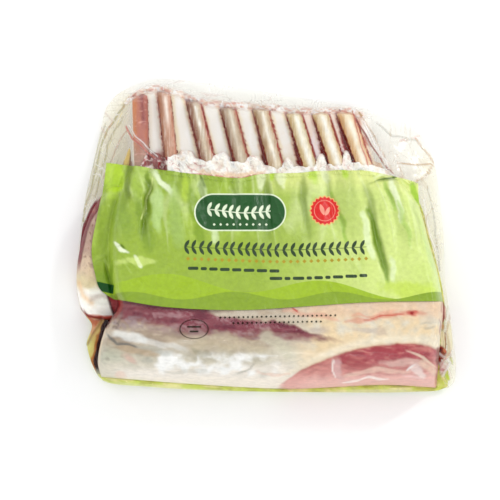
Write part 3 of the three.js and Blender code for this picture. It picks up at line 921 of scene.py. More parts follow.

# Soft strokes of paint, from the bottom up: path, half width, colour and share. Most are the meat's own
# marks. Those along the fat's fold at the left are painted highlight and painted shade.
LOIN_STROKES = [
    ([(-44, -70), (-30, -66), (0, -70)], 5.0, "#CFC2A6", 0.55),
    ([(-2, -62), (8, -68), (16, -76)], 4.5, "#D6D2BA", 0.6),
    # Painted shade below the fold of fat at the left.
    ([(-93, -69.5), (-82, -71.5), (-66, -74)], 2.6, "#BFA486", 0.65),
    ([(-86.5, -74), (-83, -77), (-80, -80)], 2.2, "#DDA496", 0.45),
    # Painted highlights on the fold's crest, then grey painted shade below it and a dark painted shade line
    # in its crease.
    ([(-94.5, -62.5), (-85, -63.5), (-74, -66)], 2.8, "#F6F8F8", 0.7),
    ([(-78, -65.5), (-62, -69), (-49, -73)], 2.2, "#F6F8F8", 0.5),
    ([(-80, -69.5), (-70, -71), (-58, -74)], 1.6, "#B8BAB2", 0.5),
    ([(-99.5, -61.5), (-96, -65.2), (-92, -68), (-86, -68.4), (-79, -69.8)], 0.9, "#5F6466", 0.7),
    ([(-46, -71), (-39, -74.5), (-35, -75)], 1.5, "#A6A088", 0.55),
    ([(-93, -87), (-90, -86.2), (-87.5, -87.4)], 2.0, "#F0BEA8", 0.4),
    ([(-62, -84.5), (-50, -85.5), (-38, -84)], 1.4, "#B6B4A8", 0.4),
    ([(-18, -86), (-10, -84), (-7, -80)], 0.6, "#9E9A8E", 0.6),
    ([(-6, -86), (14, -87)], 1.2, "#F0C9B4", 0.5),
    ([(26.4, -60), (37.4, -60.3)], 2.4, "#B9ABA8", 0.55),
    ([(54, -59.5), (72, -60)], 2.2, "#BFB0AA", 0.5),
    ([(93, -55.2), (103, -55.8)], 0.8, "#C6BEB0", 0.5),
    ([(97, -58.6), (102, -58.4)], 0.6, "#B8B0A2", 0.5),
    ([(12, -47.5), (30, -50.5), (44, -54)], 1.6, "#E7AE98", 0.6),
    ([(49, -54.4), (64, -52.8), (83, -49.6), (98, -49.6)], 1.6, "#E49280", 0.6),
    ([(60, -53), (74, -51), (84, -49.8)], 0.6, "#C8402E", 0.75),
    ([(52, -51), (66, -50.8), (80, -47.5)], 1.0, "#E8A48E", 0.6),
    ([(86, -48.8), (90, -50), (93, -49.4)], 1.5, "#C83A34", 0.7),
    ([(88.5, -49.6), (91, -49.9)], 1.0, "#9A0E12", 0.95),
    ([(16, -47), (20, -47.8)], 0.6, "#C8392E", 0.8),
    ([(108, -42), (107.6, -49)], 0.9, "#B87A70", 0.6),
    ([(105.5, -54), (106.5, -57), (105.6, -61)], 0.9, "#9A5A70", 0.7),
    ([(105, -72), (105.5, -80)], 1.0, "#6E1616", 0.8),
]
MUSCLE_STROKES = [
    ([(46, -78), (58, -80), (62, -84)], 4.0, "#A63A44", 0.6),
    ([(62, -74), (80, -73), (96, -73)], 3.4, "#B04A52", 0.5),
    # Painted highlights on the wet muscle: a soft upright one over a pale membrane, and pale streaks across
    # its lower part.
    ([(42, -77), (44, -83), (45, -89)], 3.0, "#E4BCBC", 0.65),
    ([(39.8, -76), (41.4, -83), (43, -89)], 0.5, "#FFF4F0", 0.8),
    ([(47.7, -86.8), (67.5, -84.2), (88, -85)], 1.6, "#F0CCBC", 0.7),
    ([(69.9, -80.6), (91.2, -79), (99, -81.4)], 1.9, "#EBC8BE", 0.65),
    ([(46.9, -91.4), (62.7, -89.2), (75, -90)], 0.8, "#FFF0EC", 0.85),
    # A cream streak of fat. After it, the white and pale pink strokes are painted glints of the film, and
    # the mid pink and cream ones are the muscle's colour.
    ([(85.7, -73.2), (96, -76.3), (104.7, -82.7)], 0.8, "#F2D8C4", 0.8),
    ([(89, -81.5), (94, -85), (97, -89)], 2.6, "#FBEAE6", 0.7),
    ([(100, -72), (104, -78)], 1.6, "#C98484", 0.5),
    ([(95, -79), (101, -83), (104, -86)], 2.4, "#EBCDB8", 0.7),
    ([(86, -84), (91, -81)], 0.7, "#FFFFFF", 0.7),
    ([(84, -88), (95, -90)], 0.8, "#F6D2D2", 0.6),
]


def stroke_on(colour, x, y, strokes, ragged, within=1.0):
    """Lays soft strokes over painted colours."""
    for path, width, hex_colour, share in strokes:
        near = line_share(x, y, path, width, 1.4, 0.5)
        laid = ease(near + 0.28 * ragged * ease(near, 0.02, 0.3), 0.12, 0.75)
        colour = tint(colour, hex_colour, share * laid * within)
    return colour


def under_print(x, y, soft=2.0):
    """1 under the printed band, 0 outside it."""
    up = ease(print_far(x) - y, 0, 2 * soft)
    down = ease(y - print_near(x), 0, 2 * soft)
    return up * down * ease(x - print_left(y), 0, soft) * ease(print_right(y) - x, 0, soft)


purple_top = curve([(-100, -36), (-45, -42), (-37.8, -48.5), (-28.5, -53.0), (-3.7, -55.2),
                    (14.9, -58), (30.4, -63.6)])
purple_foot = curve([(-100, -49), (-79, -53), (-38, -60.5), (2, -63.0), (18, -63.5), (30, -64.5)])
red_top = curve([(8.2, -93.3), (20, -85), (31.9, -79.5), (45.3, -74), (62, -70), (79.4, -68),
                 (95.2, -68.4), (103, -71), (107, -74)])


def meat_paint(x, y):
    wob = clouds(x, y, 16, 61)
    fine = clouds(x, y, 5, 62)
    streak = clouds(x / 4, y, 3.2, 63)
    grain = clouds(x / 3 + y / 8, y, 1.5, 64)
    lump = relief(x, y)
    left_fat = ease(14 - x, 0, 24)
    mottled = noise(x / 2.2, y / 1.8, 67)
    colour = plain(x, "#E6DECE")
    middle = ease(-64 - y + 2 * wob, -2, 3) * ease(y + 80 + 0.05 * (x + 50) + 2.4 * fine, -2, 4) * left_fat
    colour = tint(colour, "#C4BDAA", 0.85 * middle)
    # Greyer where the lumps dip: painted shade in their hollows.
    colour = tint(colour, "#D6D0C0", left_fat * ease(-lump + 0.5 * fine, -0.8, 0.5) * (1 - middle))
    low = ease(-80.5 + 0.03 * (x - 10) - y + 2.0 * fine, -3, 3) * ease(x, -98, -88)
    colour = tint(colour, "#F8F0E8", 0.85 * low * ease(30 - x, 0, 24))
    lumps_here = ease(-72.5 - 0.02 * (x + 50) - y, -3, 3) * ease(x, -84, -70) * ease(y + 92, 0, 6)
    # White fat, whitest on the lumps' tops as a painted highlight, and grey in their hollows as painted
    # shade.
    colour = tint(colour, "#FFFFFF", lumps_here * ease(lump + 1.2 * fine + 0.6 * wob, 0.0, 1.5))
    colour = tint(colour, "#B2B2A8", 0.6 * lumps_here * left_fat * ease(-lump - 0.5 * fine, 0.1, 1.1))
    left_column = ease(-88 - x + fine, -3, 3) * ease(y + 82, 0, 6) * ease(-60 - y, 0, 4)
    colour = tint(colour, "#C4C7B4", 0.7 * left_column)
    colour = tint(colour, "#9C9484", 0.5 * left_column * ease(mottled + 0.4 * fine, 0.1, 0.6))
    base_strip = ease(-88.5 - y + 1.0 * fine, -1.5, 2.0) * ease(x, -98, -80)
    colour = tint(colour, "#FAF0E4", 0.85 * base_strip)
    right_fat = ease(x, 4, 34)
    colour = tint(colour, "#F0D8B2", right_fat * ease(fine + 0.4 * wob, -0.9, 0.5))
    colour = tint(colour, "#EBC9AE", 0.7 * right_fat * ease(y, -56, -48))
    colour = tint(colour, "#F8EEDA", 0.7 * right_fat * np.exp(-((y - red_top(x) - 3.0) / 2.6) ** 2))
    silver = ease(y + 70 - 0.03 * x + 4 * wob, -5, 6) * ease(34 - x, 0, 34)
    colour = tint(colour, "#BFAB96", 0.85 * silver)
    colour = tint(colour, "#968272", 0.55 * silver * ease(streak + 0.4 * fine, 0.0, 0.5))
    colour = tint(colour, "#D8CEBE", 0.6 * silver * ease(-streak - 0.2 * fine, 0.1, 0.5))
    purple_edge = purple_foot(x) + 2.4 * fine + 1.6 * wob + 1.2 * grain
    purple = ease(y - purple_edge, -4.5, 3.0)
    purple = purple * ease(purple_top(x) + 1.6 + 1.8 * fine + 0.8 * grain - y, -1.6, 1.4)
    mottle = noise(x / 1.3, y / 1.1, 65)
    colour = tint(colour, "#7E2A40", 0.92 * purple)
    colour = tint(colour, "#8C4654", 0.5 * purple * ease(x, -72, -50))
    colour = tint(colour, "#5A1830", 0.6 * purple * ease(streak + 0.5 * fine + 0.4 * mottle, 0.0, 0.5))
    colour = tint(colour, "#B48C92", 0.65 * purple * ease(-streak + 0.4 * fine + 0.6 * mottle, 0.2, 0.9))
    below = ease(purple_foot(x) + 3 - y, 0, 3) * ease(y - purple_foot(x) + 8 + 2 * wob, 0, 5)
    below = below * ease(20 - x, 0, 14)
    colour = tint(colour, "#A4888C", 0.55 * below * ease(mottle + fine, -0.6, 0.4))
    lilac = ease(-68 - x, 0, 14) * ease(y + 62, 0, 5) * ease(-50 - y, 0, 4)
    colour = tint(colour, "#A29098", 0.5 * lilac * ease(mottle + 0.5 * fine, -0.5, 0.5))
    speckled = ease(-86 - x, 0, 5) * ease(y + 60, 0, 3) * ease(-50 - y, 0, 2)
    colour = tint(colour, "#4E3436", 0.6 * speckled * ease(noise(x / 0.9, y / 0.9, 66), 0.25, 0.5))
    print_shade = np.exp(-((y - print_near(x) + 1.0) / 0.8) ** 2) * ease(-14 - x, 0, 24) * ease(x, -92, -86)
    colour = tint(colour, "#3E0E1A", 0.65 * print_shade)
    colour = stroke_on(colour, x, y, LOIN_STROKES, fine + 0.5 * grain)
    red = ease(red_top(x) - y + 0.8 * fine, -0.5, 0.8) * ease(x, 6, 16)
    colour = tint(colour, "#B2505A", red)
    colour = tint(colour, "#8E303C", 0.6 * red * ease(grain + 0.4 * fine, 0.0, 0.45))
    colour = tint(colour, "#DC968C", 0.6 * red * ease(-grain + 0.3 * wob, 0.0, 0.45))
    paler = ease(-78.5 + 0.03 * (x - 60) - y + 2.5 * wob, -4, 5) * red
    colour = tint(colour, "#DE9C94", 0.6 * paler)
    lower = ease(-87 + 0.03 * (x - 60) - y + 1.5 * fine, -3, 3) * red
    colour = tint(colour, "#F3C2BA", 0.8 * lower)
    left_tail = ease(30 - x, 0, 14) * red
    colour = tint(colour, "#E2A09A", 0.6 * left_tail)
    colour = stroke_on(colour, x, y, MUSCLE_STROKES, grain + 0.5 * fine, red)
    edge = np.exp(-((y - red_top(x) + 0.3) / 0.9) ** 2) * ease(x, 14, 24)
    colour = tint(colour, "#B9645C", 0.5 * edge)
    dark_end = ease(x - right_end(y) + 2.0 + 1.6 * fine, -0.8, 1.0) * ease(-40 - y, 0, 6)
    colour = tint(colour, "#A85C50", 0.75 * dark_end * ease(fine + 0.4 * wob, -0.5, 0.3))
    chunk = ease(x - right_end(y) + 3.4 + 1.5 * grain, -0.8, 0.8) * ease(-69 - y, 0, 2) * ease(y + 83, 0, 3)
    colour = tint(colour, "#7E1614", 0.9 * chunk)
    left_red = ease(left_end(y) + 5.5 + 1.5 * fine - x, -0.6, 0.8) * ease(y, -55, -50)
    colour = tint(colour, "#8E0E16", 0.93 * left_red)
    # Near-black at the loin's left end: painted shade in the crevice there.
    left_crevice_shade = ease(left_end(y) + 2.2 + 1.5 * fine - x, -0.6, 0.6) * ease(y, -64, -56)
    colour = tint(colour, "#3A0608", 0.95 * left_crevice_shade)
    pale_edge = line_share(x, y, [(-99.5, -59), (-103, -72), (-104, -84)], 0.9)
    colour = tint(colour, "#F6E2CC", 0.8 * pale_edge)
    top_red = ease(y, 38, 41) * ease(-60 - x, 0, 8)
    colour = tint(colour, "#9A3A34", 0.8 * top_red)
    top_pink = ease(y, 36, 40) * ease(x, -62, -54)
    return tint(colour, "#EBC4B0", 0.7 * top_pink * ease(fine, -0.4, 0.4))


# %% [markdown]
# ### The rack's body
# The paint lies on a closed body whose net bends with the ribs. Its skin sinks further under the print,
# so that no meat can come through the band.

# %% Body of the first rack
rack_columns = spread(left_end, rib_line(RIBS[0], 0), 34, False, lambda s: s ** 1.4)
rack_columns += spread(rib_line(RIBS[0], 0), rib_line(RIBS[-1], 0), 170)
rack_columns += spread(rib_line(RIBS[-1], 0), right_end, 60, True, lambda s: 1 - (1 - s) ** 1.4)
root_line = lambda x: root_y(x) + 4
rack_rows = spread(root_line, shoulder, 60, False, lambda s: s ** 1.3) + spread(shoulder, crest, 40)
rack_rows += spread(crest, loin_foot, 60, True, bunched)
rack_x, rack_y = net(rack_columns, rack_rows)
rack_gap = mix(MEAT_GAP, MEAT_GAP_UNDER_PRINT, under_print(rack_x, rack_y))
loin_relief = relief(rack_x, rack_y) * (rack_y < 30) - grooves(rack_x, rack_y) * (rack_y < -50)
rack_top = np.maximum(rack_z(rack_x, rack_y) + loin_relief - rack_gap, RIM_Z - 0.5)
rack_bottom = np.minimum(np.maximum(under_z(rack_x, rack_y), 0) + 0.4, rack_top)
rack_top = np.maximum(np.minimum(rack_top, film_z(rack_x, rack_y) - MEAT_GAP), rack_bottom)
rack = pillow("rack_meat_and_fat", rack_x, rack_y, rack_top, rack_bottom)
store_colour(rack, "paint", meat_paint(rack_x, rack_y), linear("#D8B49A"))
rack.data.materials.append(muscle_and_fat)

# %% [markdown]
# ## The second rack
# Only its end shows, as a swell at the left: dark red muscle outside, pink and grey above, and cream
# and white fat towards the front.

# %% End of the second rack
def second_paint(x, y):
    fine = clouds(x, y, 5, 72)
    streak = clouds(x, y / 4, 2.5, 73)
    colour = plain(x, "#C2A292")
    colour = tint(colour, "#A07C6E", 0.6 * ease(streak + 0.4 * fine, -0.1, 0.5))
    colour = tint(colour, "#E4CAB0", ease(-13 - y + 4 * fine, -6, 6))
    colour = tint(colour, "#E8D8B0", ease(-24 - y + 3 * fine, -4, 5))
    colour = tint(colour, "#FFFEFA", ease(-34 - y + 2 * fine, -3, 3))
    band_wide = 3.0 + 2.6 * ease(y, 6, 20)
    outer = ease(second_rack_end(y) + band_wide + 0.6 * fine - x, -0.7, 0.7) * ease(y, -26, -14)
    colour = tint(colour, "#7C1826", 0.97 * outer)
    # Pink streaks on the upper band: painted highlights.
    colour = tint(colour, "#C98078", 0.55 * outer * ease(streak, 0.1, 0.5) * ease(y, 2, 12))
    inner_line = np.exp(-((x - second_rack_end(y) - band_wide) / 0.6) ** 2) * ease(y, -20, -8)
    colour = tint(colour, "#5E1218", 0.7 * inner_line)
    specks = ease(noise(x / 1.1, y / 1.4, 74), 0.55, 0.75) * ease(y, -30, -10)
    colour = tint(colour, "#7A4A3A", 0.7 * specks)
    colour = tint(colour, "#EFC898", 0.7 * line_share(x, y, [(-116, -30), (-113, -38), (-108, -42)], 2.0))
    colour = tint(colour, "#C8B8B0", 0.7 * line_share(x, y, [(-108, -40), (-101, -38), (-96, -40)], 1.6))
    # The front white fat lifted above white: a painted highlight.
    colour = colour * (1 + 0.13 * ease(-33 - y + 2 * fine, -3, 3))[..., None]
    below = -49.4 - y - 0.08 * (x + 118) + 0.8 * fine
    colour = tint(colour, "#E0B070", 0.9 * ease(below, 0.8, 1.6))
    colour = tint(colour, "#E2401F", 0.95 * ease(below, -1.2, -0.2) * ease(1.9 - below, 0, 0.8))
    colour = tint(colour, "#8E1A12", 0.8 * ease(below, 0.1, 0.9) * ease(x + 106, 0, 5))
    under_fold = ease(x + 96.5 + 0.3 * (y + 45), -1.0, 1.0) * ease(-37 - y, -1, 2)
    colour = tint(colour, "#9C1222", 0.97 * under_fold)
    glint = line_share(x, y, [(-96, -43), (-98.5, -49)], 0.6)
    colour = tint(colour, "#C88A8A", 0.7 * glint * under_fold)
    # Near-black along the fold where the first rack lies over this one: painted shade.
    fold_shade = under_fold * ease(1.7 + 0.5 * fine - (x + 96.5 + 0.3 * (y + 45)), 0, 0.9)
    return tint(colour, "#2A050B", 0.92 * fold_shade)


hidden_edge = lambda y: SECOND_RACK_HIDDEN_X - 6 + 0 * y
second_far = lambda x: SECOND_RACK_FAR_Y + 0 * x
second_near = lambda x: SECOND_RACK_NEAR_Y + 0 * x
second_columns = spread(second_rack_end, hidden_edge, 60, True, lambda s: s ** 1.6)
second_rows = spread(second_far, second_near, 110, True)
second_x, second_y = net(second_columns, second_rows)
second_gap = mix(MEAT_GAP, MEAT_GAP_UNDER_PRINT, under_print(second_x, second_y))
second_top = np.maximum(second_rack_z(second_x, second_y) - second_gap, RIM_Z - 0.5)
second_bottom = np.minimum(np.maximum(under_z(second_x, second_y), 0) + 0.4, second_top)
second_rack = pillow("second_rack", second_x, second_y, second_top, second_bottom)
store_colour(second_rack, "paint", second_paint(second_x, second_y), linear("#D8B49A"))
second_rack.data.materials.append(muscle_and_fat)

# %% [markdown]
# ## The bare ribs
# Frenching scrapes a rib clean, and leaves a dark red line of tissue along both its edges. Each rib is
# a closed rod from its cut tip into the meat. The first is still covered with thin red muscle, the
# next four are grey beige, and the last three are cream.

# %% Ribs
RIB_AROUND = 56
RIB_ALONG = 110
RIB_CAP = 8
RIB_INTO_MEAT = 12.0
RIB_CAP_SHARE = 0.45
# Each rib's paint from left to right, with its left side's tissue darkened as painted shade (bone 1's is
# orange tissue), its painted highlight streak, and how far down the streak reaches.
RIB_LEFT_TISSUE_AND_SHADE = ["#D0845A", "#B07C62", "#8E5C48", "#94705A", "#AC8C68", "#C8AC78", "#D0B07E", "#D6A874"]
RIB_MIDDLES = ["#BC7A6E", "#CC9E88", "#D4C2AA", "#D0BEA6", "#E0D0B6", "#EDE2C6", "#F0E2C8", "#F2DEBC"]
RIB_RIGHTS = ["#C27C72", "#D69C84", "#D0A08C", "#BE8A74", "#C29C7C", "#CDB284", "#D8B486", "#DCA97A"]
RIB_HIGHLIGHTS_AND_GRAIN = ["#B98078", "#FFF2E8", "#FFFEFA", "#E8E0D2", "#FCF8EE", "#FFFEF6", "#FFFEF8", "#FFFAEC"]
RIB_HIGHLIGHT_TO = [0.3, 0.6, 0.65, 1.2, 1.1, 1.4, 1.4, 1.4]


def rib_paint(i, across, along, x, y):
    """across runs from -1 at a rib's left edge to 1 at its right, along from 0 at the tip to 1."""
    grain = clouds(x, y / 6, 2.0, 81 + i)
    jag = noise(x / 1.3, y / 1.3, 96)
    broken = ease(grain + 0.5 * noise(x / 3, y / 4, 95), -0.7, 0.2)
    hair = noise(x / 0.55, y / 7, 98 + i)
    colour = plain(x, RIB_MIDDLES[i])
    # The left side is the bone's tan tissue darkened as painted shade, and the streak right of the middle
    # is a painted highlight.
    colour = tint(colour, RIB_LEFT_TISSUE_AND_SHADE[i], 0.9 * ease(-across + 0.25 * grain, -0.05, 0.7))
    colour = tint(colour, RIB_RIGHTS[i], 0.85 * ease(across + 0.2 * grain, 0.35, 0.85))
    colour = tint(colour, RIB_LEFT_TISSUE_AND_SHADE[i], 0.35 * ease(hair, 0.1, 0.8))
    colour = tint(colour, RIB_HIGHLIGHTS_AND_GRAIN[i], 0.3 * ease(-hair, 0.2, 0.8))
    if i == 0:
        dark = np.exp(-((across - 0.3 - 0.15 * grain) / 0.26) ** 2)
        dark = dark * ease(0.5 - along + 0.1 * grain, 0, 0.25)
        colour = tint(colour, "#7A3040", 0.62 * dark)
        colour = tint(colour, "#B39486", 0.85 * ease(along + 0.15 * grain, 0.55, 0.9))
        return tint(colour, "#E2B0A6", 0.6 * ease(noise(x / 3, y / 0.6, 97), 0.55, 0.7))
    lit = ease(RIB_HIGHLIGHT_TO[i] - along, 0, 0.3) * ease(along, 0.04, 0.14) * (0.4 + 0.6 * broken)
    streak = np.exp(-((across - 0.12 - 0.12 * grain) / (0.3 if i in (1, 5, 6, 7) else 0.2)) ** 2)
    colour = tint(colour, RIB_HIGHLIGHTS_AND_GRAIN[i], 0.92 * streak * lit)
    colour = tint(colour, RIB_LEFT_TISSUE_AND_SHADE[i], 0.6 * ease(0.09 + 0.04 * jag - along, 0, 0.05))
    left = ease(-across + 0.08 * jag + 0.08 * ease(along, 0.3, 1.0), 0.82, 0.9) * ease(along, 0.02, 0.3)
    colour = tint(colour, "#76100E", (0.5 if i == 1 else 0.97) * left)
    right = ease(across + 0.1 * jag, 0.84, 0.92)
    return tint(colour, "#A81C1C", (0.35 if i == 1 else 0.9) * right)


def make_rib(i):
    tip, root, radius = RIBS[i]
    y_tip = tip[1] + 1.2
    y_in = root[1] - RIB_INTO_MEAT
    cap = radius * RIB_CAP_SHARE
    turns = np.linspace(0, 2 * math.pi, RIB_AROUND, endpoint=False)
    rings = []
    for k in range(1, RIB_CAP):
        a = k / RIB_CAP * math.pi / 2
        rings.append((y_tip - cap * (1 - math.cos(a)), math.sin(a)))
    rings += [(mix(y_tip - cap, y_in, k / RIB_ALONG), 1.0) for k in range(RIB_ALONG + 1)]
    ring_y = np.array([ring[0] for ring in rings])[:, None]
    size = np.array([ring[1] for ring in rings])[:, None]
    uneven = 1 + 0.03 * noise(ring_y / 7 + 0 * turns, turns[None, :] * 1.5 + 0 * ring_y, 90 + i)
    r = (radius - 0.2) * size * uneven
    axis_x = rib_x(RIBS[i], ring_y)
    centre_z = rib_top_z(axis_x, ring_y) - radius
    x = axis_x + r * np.cos(turns)
    y = ring_y + 0 * turns
    print_over = 1.4 * ease(print_far(x) - y, -6, -2)
    z = np.minimum(centre_z + r * np.sin(turns) - 0.15, film_z(x, y) - 0.35 - print_over)
    points = np.stack([x, y, z], axis=-1).reshape(-1, 3)
    rows = len(rings)
    index = np.arange(rows * RIB_AROUND).reshape(rows, RIB_AROUND)
    index = np.concatenate([index, index[:, :1]], axis=1)
    quads = np.stack([index[:-1, :-1], index[:-1, 1:], index[1:, 1:], index[1:, :-1]], axis=-1)
    faces = quads.reshape(-1, 4).tolist()
    first = len(points)
    ends = [(float(rib_x(RIBS[i], y_tip)), y_tip, float(rib_top_z(tip[0], y_tip)) - radius),
            (float(axis_x[-1, 0]), y_in, float(centre_z[-1, 0]))]
    faces += [[first, int(index[0, k + 1]), int(index[0, k])] for k in range(RIB_AROUND)]
    faces += [[first + 1, int(index[-1, k]), int(index[-1, k + 1])] for k in range(RIB_AROUND)]
    piece = make_mesh(f"rib_{i + 1}", np.concatenate([points, ends]), faces)
    along = clamp((y_tip - y) / (y_tip - root[1]))
    store_colour(piece, "paint", rib_paint(i, np.cos(turns) + 0 * ring_y, along, x, y), linear("#A8553C"))
    piece.data.materials.append(bone_material)
    return piece


ribs = [make_rib(i) for i in range(len(RIBS))]

# %% [markdown]
# ## Juice and smear between the sheets
# Where the two sheets touch, a little fat and blood is pressed between them. It makes the webs between
# the ribs cream at their edges and tan at their foot. The tan is partly painted shade, where the web rises
# to the meat. It fills the crevice at the loin's left end with dark red and yellow, near-black deep down
# as painted shade. Pink streaks on the second rack's band are painted highlights. At the right end,
# strokes stand for the torn edge of the muscle, with a painted shade and highlight on its white lump.

# %% Smear
BLOOD_AT_ROOT = [0.0, 0.5, 0.7, 1.1, 2.1, 2.3, 2.7, 3.6]
BLOOD_FROM = [0.3, 0.3, 0.3, 0.3, 0.2, 0.3, 0.3, -0.2]

# What lies between the sheets just outside the loin's right end, with a painted shade and highlight on
# its white lump: path, half width, colour and cover.
EDGE_STROKES = [
    ([(114, -54), (115.5, -66), (114.5, -78)], 1.8, "#F2EBBC", 0.5),
    ([(110.6, -42), (111.2, -49), (110.2, -54)], 1.3, "#9E4A48", 0.9),
    ([(112.3, -44), (112.6, -52)], 0.5, "#EEC4BC", 0.8),
    ([(110.4, -55), (110.8, -59)], 1.1, "#D2A47A", 0.9),
    ([(110.2, -60), (111.2, -66), (110.8, -71)], 1.8, "#F4E6C2", 0.9),
    ([(112.4, -61), (112.8, -68), (112.4, -73)], 0.45, "#9A6A40", 0.85),
    ([(108.5, -70), (111.5, -74), (108.5, -80)], 2.8, "#8A2018", 0.97),
    ([(111.6, -71), (112.8, -73.5)], 1.0, "#D8643A", 0.85),
    ([(109.5, -71), (108, -75.5), (107.5, -80)], 0.8, "#3E0606", 0.95),
    ([(109, -81), (112, -82.5), (109.5, -86)], 2.6, "#F6E6E4", 0.95),
    # Pink painted shade under the white lump, and a white painted highlight across it.
    ([(108.5, -84.5), (111.5, -85.5)], 0.8, "#D8A0A8", 0.8),
    ([(110.5, -78.5), (113.5, -83), (115.5, -88)], 0.8, "#FFFFFF", 0.9),
    ([(112, -87.4), (113.4, -89)], 1.4, "#C4E04A", 0.95),
    ([(116.6, -77), (117.6, -81)], 1.2, "#D4EE9A", 0.6),
    ([(106.4, -87), (106.6, -91.5)], 0.7, "#5E1414", 0.95),
]


